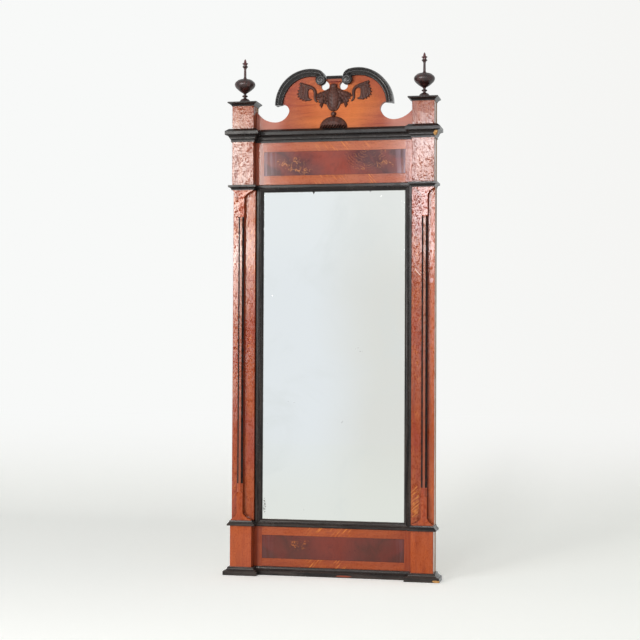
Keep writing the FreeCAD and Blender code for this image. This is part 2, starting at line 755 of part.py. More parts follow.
def moulded_block(name, shares, height, side_overhang, front_overhang, wraps_stile,
                  clears_glass_moulding=False):
    """A block with the profile on its front and both ends, as deep as the whole post. Where it
    wraps the stile it keeps only the outer return behind the stile's face."""
    body = new_body(name)
    depth = cell.frame_thickness + cell.block_thickness
    side = profile_corners(shares, cell.block_width / 2, side_overhang, height, 1.0)
    pad(body, outline(new_sketch(body, "XZ_Plane"), mirrored_loop(side)),
        depth + front_overhang + cell.overrun)
    cut_front(body, shares, depth, front_overhang, height)
    far = cell.block_width / 2 + side_overhang + cell.overrun
    if wraps_stile:
        behind = outline(new_sketch(body, "XY_Plane", (0, 0, -cell.overrun)), box_corners(
            -far, -cell.frame_thickness, cell.block_width / 2, cell.overrun))
        pocket(body, behind, height + cell.overrun * 2, Reversed=True)
    if clears_glass_moulding:
        beside = outline(new_sketch(body, "XY_Plane", (0, 0, -cell.overrun)), box_corners(
            -far, -cell.frame_thickness - cell.glass_moulding_rise - cell.fit_gap,
            -(cell.block_width / 2 + cell.ground_lip), cell.overrun))
        pocket(body, beside, height + cell.overrun * 2, Reversed=True)
    return body


def moulded_run(name, shares, height, end_overhang, front_overhang, base):
    """The straight length between two moulded blocks, coped over their inner ends."""
    body = new_body(name)
    side = profile_corners(shares, post_inner, end_overhang, height, -1.0)
    pad(body, outline(new_sketch(body, "XZ_Plane"), mirrored_loop(side)),
        cell.veneer_thickness + front_overhang + cell.overrun)
    cut_front(body, shares, cell.veneer_thickness, front_overhang, height)
    place(body, 0, carcass_front, base)
    return node(body, name)


def plain_block(name, base, top):
    """A veneered block glued on the stile, with its front arrises just broken."""
    body = new_body(name)
    half = cell.block_width / 2
    solid = pad(body, outline(new_sketch(body, "XZ_Plane"), box_corners(-half, ZERO, half, top - base)),
                cell.block_thickness)
    names = edges_where(solid, front_uprights(-cell.block_thickness.value))
    break_edges(body, solid, names, cell.block_arris)
    place(body, post_middle, carcass_front, base)
    return body


def ground_board():
    """The plain board behind the applied strip."""
    body = new_body("ground_board_right")
    shape = outline(new_sketch(body, "XZ_Plane"), box_corners(
        post_inner - cell.ground_lip, ZERO, frame_half, neck_band_base - ground_base))
    solid = pad(body, shape, cell.ground_thickness)
    names = edges_where(solid, front_uprights(-cell.ground_thickness.value))
    break_edges(body, solid, names, cell.block_arris)
    place(body, 0, carcass_front, ground_base)
    return body


def pilaster_strip():
    """The strip applied to the ground: a flared head and foot, and both arrises chamfered between
    stops that run out in a curve."""
    body = new_body("pilaster_strip_right")
    half = cell.strip_width / 2
    top = neck_band_base - ground_base
    flare = cell.strip_head_height + cell.strip_flare_height
    outer = cell.strip_head_outer
    inner = -cell.strip_head_inner
    pad(body, outline(new_sketch(body, "XZ_Plane"), [
        (inner, ZERO, 0.0), (outer, ZERO, 0.0), (outer, cell.strip_head_height, -0.1),
        (half, flare, 0.0), (half, top - flare, -0.1), (outer, top - cell.strip_head_height, 0.0),
        (outer, top, 0.0), (inner, top, 0.0), (inner, top - cell.strip_head_height, -0.1),
        (-half, top - flare, 0.0), (-half, flare, -0.1), (inner, cell.strip_head_height, 0.0)]),
        cell.strip_thickness)
    low = flare + cell.strip_neck_height
    high = top - low
    depth = cell.strip_chamfer / as_size(2).root()
    runout = cell.strip_chamfer_runout
    for way, angle in ((1.0, -45), (-1.0, 45)):
        sketch = new_sketch(body, "XZ_Plane", (half * way, 0, cell.strip_thickness),
                            FreeCAD.Rotation(FreeCAD.Vector(0, 1, 0), angle))
        outline(sketch, [
            (-depth * way, low, 0.0), (-depth * way, high, 0.14 * way), (ZERO, high + runout, 0.0),
            (cell.overrun * way, high + runout, 0.0), (cell.overrun * way, low - runout, 0.0),
            (ZERO, low - runout, 0.14 * way)])
        pocket(body, sketch, cell.strip_chamfer * 4, SideType="Symmetric")
    place(body, post_middle + cell.strip_shift, ground_front, ground_base)
    return body


def cap():
    """The moulded cap, bored for the finial's pin."""
    body = moulded_block("cap_right", CAP_PROFILE_SHARES, cell.cap_height, cell.cap_side_overhang,
                         cell.cap_front_overhang, False)
    bore = circle(new_sketch(body, "XY_Plane", (0, 0, cell.cap_height)), ZERO, -cap_middle,
                  cell.finial_pin_radius + cell.fit_gap)
    pocket(body, bore, cell.finial_pin_length + cell.fit_gap)
    place(body, post_middle, carcass_back, cap_base)
    return body


def finial():
    """Turned in one piece: pin, domed foot, collar, bulb, stem, two collars and pointed tip."""
    body = new_body("finial_right")
    corners = [(ZERO, -cell.finial_pin_length, 0.0), (cell.finial_pin_radius, -cell.finial_pin_length, 0.0),
               (cell.finial_pin_radius, ZERO, 0.0)]
    for out, up, bow in FINIAL_PROFILE_SHARES:
        level = cell.finial_height * up if up else ZERO
        corners.append((cell.finial_radius * out, level, bow))
    corners.append((ZERO, cell.finial_height, 0.0))
    revolve(body, outline(new_sketch(body, "XZ_Plane"), corners), as_size(360))
    place(body, post_middle, carcass_back - cap_middle, finial_base)
    return body


def pilasters():
    blocks = (
        ("plinth_moulding", PLINTH_PROFILE_SHARES, cell.plinth_height, cell.plinth_side_overhang,
         cell.plinth_front_overhang, ZERO, False),
        ("lower_band", LOWER_BAND_PROFILE_SHARES, cell.lower_band_height,
         cell.lower_band_side_overhang, cell.lower_band_front_overhang, lower_band_base, True),
        ("neck_band", NECK_BAND_PROFILE_SHARES, cell.neck_band_height,
         cell.neck_band_side_overhang, cell.neck_band_front_overhang, neck_band_base, True),
        ("cornice", CORNICE_PROFILE_SHARES, cell.cornice_height, cell.cornice_overhang,
         cell.cornice_overhang, cornice_base, False))
    pieces = []
    for name, shares, height, side_overhang, front_overhang, base, clears in blocks:
        body = moulded_block(name + "_right", shares, height, side_overhang, front_overhang, True,
                             clears)
        place(body, post_middle, carcass_back, base)
        pieces.append((body, name))
    pieces.append((plain_block("plinth_block_right", cell.plinth_height, lower_band_base), "plinth_block"))
    pieces.append((plain_block("frieze_block_right", frieze_block_base, cornice_base), "frieze_block"))
    pieces.append((plain_block("pedestal_block_right", pedestal_base, cap_base), "pedestal_block"))
    pieces.append((ground_board(), "ground_board"))
    pieces.append((pilaster_strip(), "pilaster_strip"))
    pieces.append((cap(), "cap"))
    pieces.append((finial(), "finial"))
    for body, name in pieces:
        node(body, name + "_right")
        twin(body, name + "_left")


def arc_bow(angle):
    """The bow of an arc that turns by the angle, as a share of its chord."""
    return (angle / 4).tan() / 2


def arch_point(radius):
    """Where the arch's sweep ends, at the given radius from its centre."""
    return (cell.arch_centre_out + cell.arch_sweep.cos() * radius,
            cell.arch_centre_up + cell.arch_sweep.sin() * radius)


def crest_board():
    """Sawn board: a round notch by each post, two arched lobes, and a keyhole by each scroll."""
    body = new_body("crest_board")
    half = post_inner - cell.crest_side_gap
    lobe = cell.arch_radius - cell.arch_lap
    lobe_end = arch_point(lobe)
    roof_angle = ((cell.notch_top_up - cell.arch_centre_up) / lobe).arcsine()
    roof_out = roof_angle.cos() * lobe
    curl_centre = arch_point(cell.arch_radius - curl_radius)
    curl = curl_radius - cell.arch_lap
    side = [
        (half, ZERO, 0.0), (half, cell.notch_post_up, NOTCH_BOW_SHARES[0]),
        (cell.notch_low_out, cell.notch_low_up, NOTCH_BOW_SHARES[1]),
        (cell.notch_inner_out, cell.notch_inner_up, NOTCH_BOW_SHARES[2]),
        (cell.notch_top_out, cell.notch_top_up, 0.0),
        (cell.arch_centre_out + roof_out, cell.notch_top_up, arc_bow(cell.arch_sweep - roof_angle)),
        (lobe_end[0], lobe_end[1], arc_bow(as_size(180) - cell.arch_sweep)),
        (curl_centre[0] - curl, curl_centre[1], 0.0),
        (curl_centre[0] - curl, curl_centre[1] - cell.bar_seat_drop, 0.0)]
    pad(body, outline(new_sketch(body, "XZ_Plane"), mirrored_loop(side)), cell.crest_thickness)
    holes = new_sketch(body, "XZ_Plane")
    leg = cell.eye_hole_radius / as_size(2).root()
    three_eighths = arc_bow(as_size(135))
    for side_sign in (-1.0, 1.0):
        middle = cell.eye_hole_out * side_sign
        up = cell.eye_hole_up
        outline(holes, [
            (middle + leg, up + leg, 0.0),
            (middle, up + cell.eye_hole_radius * as_size(2).root(), 0.0),
            (middle - leg, up + leg, three_eighths),
            (middle, up - cell.eye_hole_radius, three_eighths)])
    pocket(body, holes, cell.crest_thickness + cell.overrun, Reversed=True)
    bores = new_sketch(body, "XY_Plane")
    for across in dowel_places():
        circle(bores, across, -cell.crest_thickness / 2, cell.crest_dowel_radius + cell.fit_gap)
    pocket(body, bores, cell.crest_dowel_length / 2, Reversed=True)
    place(body, 0, crest_back, pedestal_base)
    node(body, "crest_board")


def crest_dowels():
    """Dowels that stand the crest board on the top rail."""
    pins = [round_pin("crest_dowel", across, crest_middle, pedestal_base - cell.crest_dowel_length / 2,
                      cell.crest_dowel_radius, cell.crest_dowel_length, FreeCAD.Rotation())
            for across in dowel_places()]
    group("crest_dowels", pins)


def crest_arch():
    """The arched moulding: one profile turned about the arch's centre, then about the curl's
    centre. Its outer lip hoods the board's edge, and it rolls up into a round boss with an eye."""
    body = new_body("crest_arch_right")
    rise = cell.arch_rise
    reach = cell.arch_radius - curl_radius
    curl_out = cell.arch_sweep.cos() * reach
    curl_up = cell.arch_sweep.sin() * reach

    def section(sketch, outer):
        return outline(sketch, [
            (outer - cell.arch_width * (1 - out), -(rise * up) if up else ZERO, bow)
            for out, up, bow in ARCH_PROFILE_SHARES])

    def lip(sketch, outer):
        return outline(sketch, box_corners(outer - cell.arch_lap, -(rise / 2), outer, cell.crest_thickness))

    def turned_sketch():
        sketch = new_sketch(body, "XY_Plane", (curl_out, 0, curl_up))
        for axis, way in zip("xyz", (ZERO, as_size(1), ZERO)):
            bind(sketch, f"AttachmentOffset.Rotation.Axis.{axis}", way)
        bind(sketch, "AttachmentOffset.Rotation.Angle", -cell.arch_sweep)
        sketch.AttachmentOffset = FreeCAD.Placement(
            FreeCAD.Vector(curl_out.value, 0, curl_up.value),
            FreeCAD.Rotation(FreeCAD.Vector(0, 1, 0), -cell.arch_sweep.value))
        return sketch

    revolve(body, section(new_sketch(body, "XY_Plane"), cell.arch_radius), cell.arch_sweep, True)
    revolve(body, section(turned_sketch(), curl_radius), cell.curl_sweep, True)
    revolve(body, lip(new_sketch(body, "XY_Plane"), cell.arch_radius), cell.arch_sweep, True)
    revolve(body, lip(turned_sketch(), curl_radius), as_size(180) - cell.arch_sweep, True)
    boss_out = cell.scroll_boss_out - cell.arch_centre_out
    boss_up = cell.scroll_boss_up - cell.arch_centre_up
    boss = cell.scroll_boss_radius
    edge = cell.scroll_boss_edge
    eye = cell.scroll_eye_radius
    eye_edge = cell.scroll_eye_edge
    eye_front = rise + cell.scroll_eye_rise
    quarter = -arc_bow(as_size(90))
    turned_boss = outline(new_sketch(body, "XY_Plane", (boss_out, 0, boss_up)), [
        (ZERO, ZERO, 0.0), (boss, ZERO, 0.0), (boss, -(rise - edge), quarter),
        (boss - edge, -rise, 0.0), (eye, -rise, 0.0), (eye, -(eye_front - eye_edge), quarter),
        (eye - eye_edge, -eye_front, 0.0), (ZERO, -eye_front, 0.0)])
    revolve(body, turned_boss, as_size(360), True)
    place(body, cell.arch_centre_out, veneer_front, pedestal_base + cell.arch_centre_up)
    node(body, "crest_arch_right")
    twin(body, "crest_arch_left")


def crest_bar():
    """The short moulded bar on the crest between the two scrolls."""
    body = new_body("crest_bar")
    curl_centre = arch_point(cell.arch_radius - curl_radius)
    depth = cell.crest_thickness
    overhang = cell.bar_overhang
    height = cell.bar_height
    corners = [(ZERO, ZERO, 0.0), (ZERO, height, 0.0)]
    corners += [(-(depth + overhang * out), height * up if up else ZERO, bow)
                for out, up, bow in BAR_PROFILE_SHARES]
    section = outline(new_sketch(body, "YZ_Plane"), corners)
    length = (cell.scroll_boss_out - cell.scroll_boss_radius - cell.bar_end_gap) * 2
    pad(body, section, length, SideType="Symmetric")
    place(body, 0, crest_back, pedestal_base + curl_centre[1] - cell.bar_seat_drop)
    node(body, "crest_bar")


def segment_loft(body, shares, base, height, half_width, relief):
    """A flat-backed relief: arcs over a chord, lofted from the bottom up."""
    sections = []
    for up, wide, deep in shares:
        sketch = new_sketch(body, "XY_Plane", (0, 0, base + height * up if up else base))
        half = half_width * wide
        bow = relief * deep / (half * 2)
        outline(sketch, [(-half, ZERO, bow), (half, ZERO, 0.0)])
        sections.append(sketch)
    loft = body.newObject("PartDesign::AdditiveLoft", "relief")
    loft.Profile = sections[0]
    loft.Sections = sections[1:]
    return loft


def carved_urn():
    """Urn in relief with a drooping leaf on each side, carved from one piece."""
    body = new_body("carved_urn")
    segment_loft(body, URN_SECTION_SHARES, ZERO, cell.urn_height, cell.urn_radius, cell.urn_relief)
    for side_sign in (-1.0, 1.0):
        corners = [(cell.leaf_reach * (out * side_sign), cell.urn_height * up, -bow * side_sign)
                   for out, up, bow in LEAF_OUTLINE_SHARES]
        leaf = outline(new_sketch(body, "XZ_Plane"), corners)
        pad(body, leaf, cell.leaf_relief)
    place(body, 0, veneer_front, pedestal_base + cell.urn_base)
    node(body, "carved_urn")


def carved_foot():
    """Domed foot of the urn with the bead that stands on it."""
    body = new_body("carved_foot")
    segment_loft(body, FOOT_SECTION_SHARES, ZERO, cell.foot_height, cell.foot_width / 2,
                 cell.foot_relief)
    bead_base = cell.foot_height - cell.bead_sink
    bead_radius = (cell.urn_base - bead_base) / 2
    half_turn = arc_bow(as_size(90))
    bead = outline(new_sketch(body, "XZ_Plane"), [
        (ZERO, bead_base, half_turn), (bead_radius, bead_base + bead_radius, half_turn),
        (ZERO, cell.urn_base, 0.0)])
    revolve(body, bead, as_size(180), True)
    place(body, 0, veneer_front, pedestal_base)
    node(body, "carved_foot")


def carved_spray():
    """Scrolled stem that ends in a hanging leaf."""
    body = new_body("carved_spray_right")
    width = cell.spray_reach - cell.spray_start
    shape = outline(new_sketch(body, "XZ_Plane"), [
        (cell.spray_start + width * out, cell.spray_height * up, bow)
        for out, up, bow in SPRAY_OUTLINE_SHARES])
    pad(body, shape, cell.spray_relief)
    place(body, 0, veneer_front, pedestal_base + cell.spray_base)
    node(body, "carved_spray_right")
    twin(body, "carved_spray_left")


def hanger_plate():
    """Iron plate with a rolled knuckle at its top and two countersunk holes."""
    body = new_body("hanger_plate_right")
    half = cell.hanger_plate_width / 2
    corner = cell.hanger_plate_corner
    low = -cell.hanger_plate_length
    thick = cell.hanger_plate_thickness
    quarter = arc_bow(as_size(90))
    shape = outline(new_sketch(body, "XZ_Plane"), [
        (-(half - corner), low, 0.0), (half - corner, low, quarter), (half, low + corner, 0.0),
        (half, -corner, 0.0), (cell.hanger_knuckle_length / 2, ZERO, 0.0),
        (-(cell.hanger_knuckle_length / 2), ZERO, 0.0), (-half, -corner, 0.0),
        (-half, low + corner, quarter)])
    plate = pad(body, shape, thick, Reversed=True)
    holes = new_sketch(body, "XZ_Plane")
    for number in (0.0, 1.0):
        circle(holes, ZERO, -(cell.hanger_screw_inset + cell.hanger_screw_pitch * number),
               cell.screw_radius + cell.fit_gap)
    drilled = pocket(body, holes, thick + cell.overrun)
    countersink = body.newObject("PartDesign::Chamfer", "countersink")
    countersink.Base = (drilled, round_rims(drilled, thick.value))
    bind(countersink, "Size", (cell.screw_head_radius - cell.screw_radius) * COUNTERSINK_SHARE)
    knuckle = circle(new_sketch(body, "YZ_Plane"), ring_offset, ZERO,
                     cell.ring_wire_radius + cell.ring_clearance + thick)
    pad(body, knuckle, cell.hanger_knuckle_length, SideType="Symmetric")
    eye = circle(new_sketch(body, "YZ_Plane"), ring_offset, ZERO,
                 cell.ring_wire_radius + cell.ring_clearance)
    pocket(body, eye, cell.hanger_knuckle_length + cell.overrun, SideType="Symmetric")
    place(body, post_middle, carcass_back, hanger_level)
    node(body, "hanger_plate_right")
    twin(body, "hanger_plate_left")


def bent_wire(name, bend_radius, angle, x, z, start):
    """An arc of the ring's wire in the plane of the ring, from the start angle."""
    bend = doc.addObject("Part::Torus", name)
    bend.Angle3 = angle
    bind(bend, "Radius1", bend_radius)
    bind(bend, "Radius2", cell.ring_wire_radius)
    upright = FreeCAD.Rotation(FreeCAD.Vector(1, 0, 0), 90)
    place(bend, x, ring_plane, z, FreeCAD.Rotation(FreeCAD.Vector(0, 1, 0), -start).multiply(upright))
    return bend


def hanger_ring():
    """D-shaped ring: a straight bar in the knuckle, two corners and a half round."""
    bar = round_pin("ring_bar", post_middle - cell.ring_half_bar, ring_plane, hanger_level,
                    cell.ring_wire_radius, cell.ring_half_bar * 2,
                    FreeCAD.Rotation(FreeCAD.Vector(0, 1, 0), 90))
    low = hanger_level - cell.ring_corner
    right = bent_wire("ring_corner", cell.ring_corner, 90, post_middle + cell.ring_half_bar, low, 0)
    left = bent_wire("ring_corner", cell.ring_corner, 90, post_middle - cell.ring_half_bar, low, 90)
    bow = bent_wire("ring_bow", cell.ring_half_bar + cell.ring_corner, 180, post_middle, low, 180)
    ring = joined("hanger_ring_right", [bar, right, left, bow])
    node(ring, "hanger_ring_right")
    twin(ring, "hanger_ring_left")


def hanger_screws():
    """Countersunk screws, two through each hanger plate into the stile."""
    inward = FreeCAD.Rotation(FreeCAD.Vector(1, 0, 0), 90)
    screws = []
    head_height = cell.screw_head_radius - cell.screw_radius
    for side in (-1.0, 1.0):
        for up in screw_levels():
            top = carcass_back + cell.hanger_plate_thickness
            head = doc.addObject("Part::Cone", "screw_head")
            bind(head, "Radius1", cell.screw_head_radius)
            bind(head, "Radius2", cell.screw_radius)
            bind(head, "Height", head_height)
            place(head, post_middle * side, top, up, inward)
            shank = round_pin("screw_shank", post_middle * side, top - head_height / 2, up,
                              cell.screw_radius, cell.screw_length, inward)
            screws.append(joined("hanger_screw", [head, shank]))
    group("hanger_screws", screws)


# Sizes that several pieces share
cap_middle = (cell.frame_thickness + cell.block_thickness + cell.cap_front_overhang) / 2
crest_back = veneer_front + cell.crest_thickness
crest_middle = veneer_front + cell.crest_thickness / 2
ring_offset = cell.hanger_plate_thickness + cell.ring_clearance + cell.ring_wire_radius
ring_plane = carcass_back + ring_offset

stile()
rail("bottom_rail", ZERO, opening_base, opening_base - cell.rebate_width, opening_base + cell.overrun,
     False)
rail("top_rail", opening_top, pedestal_base, opening_top - cell.overrun,
     opening_top + cell.rebate_width, True)
back_boards()
back_nails()
mirror_glass()
glass_wedges()
glass_mouldings()
veneered_field("base", cell.plinth_height, moulding_base, cell.base_bottom_banding,
               cell.base_top_banding)
veneered_field("frieze", moulding_top, cornice_base, cell.frieze_bottom_banding,
               cell.frieze_top_banding)
pilasters()
moulded_run("plinth_moulding_centre", PLINTH_PROFILE_SHARES, cell.plinth_height,
            cell.plinth_side_overhang, cell.plinth_run_overhang, ZERO)
moulded_run("cornice_centre", CORNICE_PROFILE_SHARES, cell.cornice_height,
            cell.cornice_overhang, cell.cornice_run_overhang, cornice_base)
crest_board()
crest_dowels()
crest_arch()
crest_bar()
carved_urn()
carved_foot()
carved_spray()
hanger_plate()
hanger_ring()
hanger_screws()

doc.recompute()
faults = [item.Name for item in doc.Objects if "Invalid" in item.State or "Error" in item.State]
if faults:
    raise RuntimeError(f"failed objects: {faults}")
for item in NODES:
    if item.Shape.isNull() or not item.Shape.isValid():
        raise RuntimeError(f"bad shape: {item.Label}")
os.makedirs("parts", exist_ok=True)
for item in NODES:
    item.Shape.exportStep(f"parts/{item.Label}.step")
    box = item.Shape.BoundBox
    print(f"{item.Label:26s} solids {len(item.Shape.Solids)}  x {box.XMin:8.1f} {box.XMax:8.1f}"
          f"  y {box.YMin:7.1f} {box.YMax:7.1f}  z {box.ZMin:8.1f} {box.ZMax:8.1f}")
print(f"{len(NODES)} sub-parts")
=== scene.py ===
"""Pier mirror: polished veneer, ebonised mouldings, carved ornament, turned finials, old glass."""
import math
from functools import reduce
from types import SimpleNamespace

import bmesh
import bpy
import numpy as np
from mathutils import Matrix, Vector


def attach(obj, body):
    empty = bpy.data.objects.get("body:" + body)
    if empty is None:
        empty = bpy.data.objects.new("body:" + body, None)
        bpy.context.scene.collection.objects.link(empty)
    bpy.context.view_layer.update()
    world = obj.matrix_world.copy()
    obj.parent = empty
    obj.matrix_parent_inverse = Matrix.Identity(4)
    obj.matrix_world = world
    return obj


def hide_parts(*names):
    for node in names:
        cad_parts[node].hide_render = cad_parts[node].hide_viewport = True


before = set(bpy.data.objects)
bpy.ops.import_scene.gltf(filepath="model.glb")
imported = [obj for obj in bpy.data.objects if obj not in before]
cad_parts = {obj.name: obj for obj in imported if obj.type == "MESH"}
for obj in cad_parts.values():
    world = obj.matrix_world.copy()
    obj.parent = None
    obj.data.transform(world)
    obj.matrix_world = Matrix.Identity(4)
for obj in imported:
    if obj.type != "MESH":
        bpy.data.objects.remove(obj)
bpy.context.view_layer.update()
MM = 0.001


def tone(red, green, blue):
    """A colour as it is seen, in steps of 255, turned into the values a shader takes."""
    values = [step / 255 for step in (red, green, blue)]
    return tuple(v / 12.92 if v <= 0.04045 else ((v + 0.055) / 1.055) ** 2.4 for v in values) + (1,)


# Laying out nodes
class Value:
    """What comes out of a node. Plain arithmetic on it lays out math nodes."""

    def __init__(self, socket):
        self.socket = socket

    def __add__(self, other):
        return worked("ADD", self, other)

    def __sub__(self, other):
        return worked("SUBTRACT", self, other)

    def __rsub__(self, other):
        return worked("SUBTRACT", other, self)

    def __mul__(self, other):
        return worked("MULTIPLY", self, other)

    def __truediv__(self, other):
        return worked("DIVIDE", self, other)

    def __abs__(self):
        return worked("ABSOLUTE", self)


def feed(made, name, value):
    """Links a value to a node's input, or sets the input. i0 and i1 are inputs by their number."""
    key = int(name[1:]) if name[0] == "i" and name[1:].isdigit() else name.replace("_", " ")
    if isinstance(value, Value):
        made.id_data.links.new(value.socket, made.inputs[key])
    else:
        made.inputs[key].default_value = value


def lay(tree, kind, settings=None, **inputs):
    """A new node in the tree."""
    made = tree.nodes.new(kind)
    for name, value in (settings or {}).items():
        setattr(made, name, value)
    for name, value in inputs.items():
        feed(made, name, value)
    return made


def empty_tree(owner):
    """The cleared node tree of a material or a world."""
    owner.use_nodes = True
    owner.node_tree.nodes.clear()
    return owner.node_tree


def tree_of(given):
    return next(value.socket.id_data for value in given if isinstance(value, Value))


def node(kind, settings=None, out=0, tree=None, **inputs):
    """One output of a new node, in the tree that its inputs come from."""
    return Value(lay(tree or tree_of(inputs.values()), kind, settings, **inputs).outputs[out])


def named(sockets):
    return SimpleNamespace(**{socket.name.lower(): Value(socket) for socket in sockets if socket.name})


def shared(group, **inputs):
    """The outputs of a shared effect, by their names."""
    return named(lay(tree_of(inputs.values()), "ShaderNodeGroup", {"node_tree": group}, **inputs).outputs)


def worked(way, *given):
    return node("ShaderNodeMath", {"operation": way}, **{f"i{k}": value for k, value in enumerate(given)})


def most(first, second):
    return worked("MAXIMUM", first, second)


def least(first, second):
    return worked("MINIMUM", first, second)


def vector(way, first, second, out=0):
    return node("ShaderNodeVectorMath", {"operation": way}, out, i0=first, i1=second)


def scaled(place, factor):
    return node("ShaderNodeVectorMath", {"operation": "SCALE"}, i0=place, Scale=factor)


def length(place):
    return node("ShaderNodeVectorMath", {"operation": "LENGTH"}, "Value", i0=place)


def stretch(place, z, y=1):
    return vector("MULTIPLY", place, (1, y, z))


def point(x, y, z):
    return node("ShaderNodeCombineXYZ", X=x, Y=y, Z=z)


def parts(place):
    made = lay(place.socket.id_data, "ShaderNodeSeparateXYZ", Vector=place)
    return [Value(socket) for socket in made.outputs]


def ease(value, low, high, start=0, end=1):
    """Goes smoothly from start to end while the value goes from low to high."""
    return node("ShaderNodeMapRange", {"interpolation_type": "SMOOTHSTEP"}, Value=value,
                From_Min=low, From_Max=high, To_Min=start, To_Max=end)


def between(share, start, end):
    """Goes smoothly from start to end while the share goes from 0 to 1."""
    return ease(share, 0, 1, start, end)


def band(value, rise, fall):
    """1 from the end of the rise to the end of the fall, 0 before and after."""
    return ease(value, *rise) * ease(value, *fall)


def noise(place, scale, detail=3, rough=0.55, warp=0):
    return node("ShaderNodeTexNoise", Vector=place, Scale=scale, Detail=detail, Roughness=rough,
                Distortion=warp)


def drifting(place, scale):
    """A colour used as a push in three directions."""
    return node("ShaderNodeTexNoise", None, 1, Vector=place, Scale=scale, Detail=2)


def blend(share, first, second, way="MIX"):
    return node("ShaderNodeMix", {"data_type": "RGBA", "blend_type": way}, 2, i0=share, i6=first, i7=second)


def coated(colour, *coats):
    """The colour under coats, each given as its share and its colour."""
    for share, coat in coats:
        colour = blend(share, colour, coat)
    return colour


def ramp(value, *stops):
    """A colour that follows the value through the stops."""
    made = lay(value.socket.id_data, "ShaderNodeValToRGB", Fac=value)
    elements = made.color_ramp.elements
    while len(elements) < len(stops):
        elements.new(0.5)
    for element, (spot, colour) in zip(elements, stops):
        element.position = spot
        element.color = colour
    return Value(made.outputs[0])


def bump(height, strength, depth, under=None):
    lower = {} if under is None else {"Normal": under}
    return node("ShaderNodeBump", Height=height, Strength=strength, Distance=depth, **lower)


# Effects that several finishes share
def new_group(name, inputs, *outputs):
    """A shared effect: its tree, its inputs by name and the node that its results go to."""
    tree = bpy.data.node_groups.new(name, "ShaderNodeTree")
    for label, value in inputs.items():
        kind = "NodeSocketFloat" if isinstance(value, (int, float)) else "NodeSocketVector"
        socket = tree.interface.new_socket(label, in_out="INPUT", socket_type=kind)
        if value is not None:
            socket.default_value = value
    for label in outputs:
        tree.interface.new_socket(label, in_out="OUTPUT", socket_type="NodeSocketFloat")
    return tree, named(lay(tree, "NodeGroupInput").outputs), lay(tree, "NodeGroupOutput")


def make_timber_figure():
    """Grain that runs along Z: stripes, open pores, slow patches that catch the light, and flecks."""
    tree, given, taken = new_group(
        "timber_figure", {"Place": None, "Stripe": 55, "Sway": 0.012, "Patch": 7},
        "Stripes", "Pores", "Patches", "Fleck")
    wander = vector("SUBTRACT", drifting(stretch(given.place, 0.35), 9), (0.5, 0.5, 0.5))
    bent = vector("ADD", given.place, scaled(wander, given.sway))
    stripes = noise(stretch(bent, 0.06), given.stripe, 5, 0.62, 0.4)
    pores = noise(stretch(bent, 0.035), 950, 2, 0.5)
    patches = noise(stretch(bent, 0.45), given.patch, 3, 0.6, 0.8)
    fleck = noise(stretch(bent, 0.8), 240, 3, 0.6, 0.3)
    feed(taken, "Stripes", ease(stripes, 0.3, 0.7))
    feed(taken, "Pores", ease(pores, 0.56, 0.72))
    feed(taken, "Patches", ease(patches, 0.32, 0.68))
    feed(taken, "Fleck", ease(fleck, 0.4, 0.66))
    return tree


def make_edge_rub():
    """Where an edge has been rubbed by hands and dusters: 1 on the arris, 0 on the flat."""
    tree, given, taken = new_group("edge_rub", {"Place": None, "Reach": 0.0015, "Amount": 0.5}, "Rubbed")
    eased = node("ShaderNodeBevel", {"samples": 4}, Radius=given.reach)
    alike = vector("DOT_PRODUCT", eased, node("ShaderNodeNewGeometry", None, "Normal", tree), "Value")
    ragged = ease(noise(given.place, 140, 4, 0.65), 0.42, 0.62)
    feed(taken, "Rubbed", ease(alike, 0.995, 0.9) * ragged * given.amount)
    return tree


def make_dull_patches():
    """Old polish: fine scuffs, dull clouds and specks of dust."""
    tree, given, taken = new_group("dull_patches", {"Place": None, "Cloud": 6}, "Dull", "Scuff", "Speck")
    feed(taken, "Dull", ease(noise(given.place, given.cloud, 5, 0.6, 0.6), 0.35, 0.7))
    feed(taken, "Scuff", ease(noise(stretch(given.place, 0.2), 260, 3, 0.7), 0.5, 0.72))
    feed(taken, "Speck", ease(noise(given.place, 620, 1, 0.5), 0.7, 0.8))
    return tree


def make_knocked_spot():
    """A ragged spot inside a box, where the finish is knocked or worn away."""
    tree, given, taken = new_group(
        "knocked_spot", {"Place": None, "Middle": None, "Half": (0.01, 0.01, 0.01), "Ragged": 0.5}, "Bare")
    shares = vector("DIVIDE", vector("SUBTRACT", given.place, given.middle), given.half)
    torn = (noise(given.place, 160, 4, 0.7) - 0.5) * given.ragged
    feed(taken, "Bare", ease(length(shares) + torn, 1, 0.86))
    return tree


FIGURE = make_timber_figure()
RUB = make_edge_rub()
DULL = make_dull_patches()
SPOT = make_knocked_spot()


def figured(grain, stripe, sway, patch):
    return shared(FIGURE, Place=grain, Stripe=stripe, Sway=sway, Patch=patch)


def bare_spot(place, middle, half, ragged):
    return shared(SPOT, Place=place, Middle=middle, Half=half, Ragged=ragged).bare


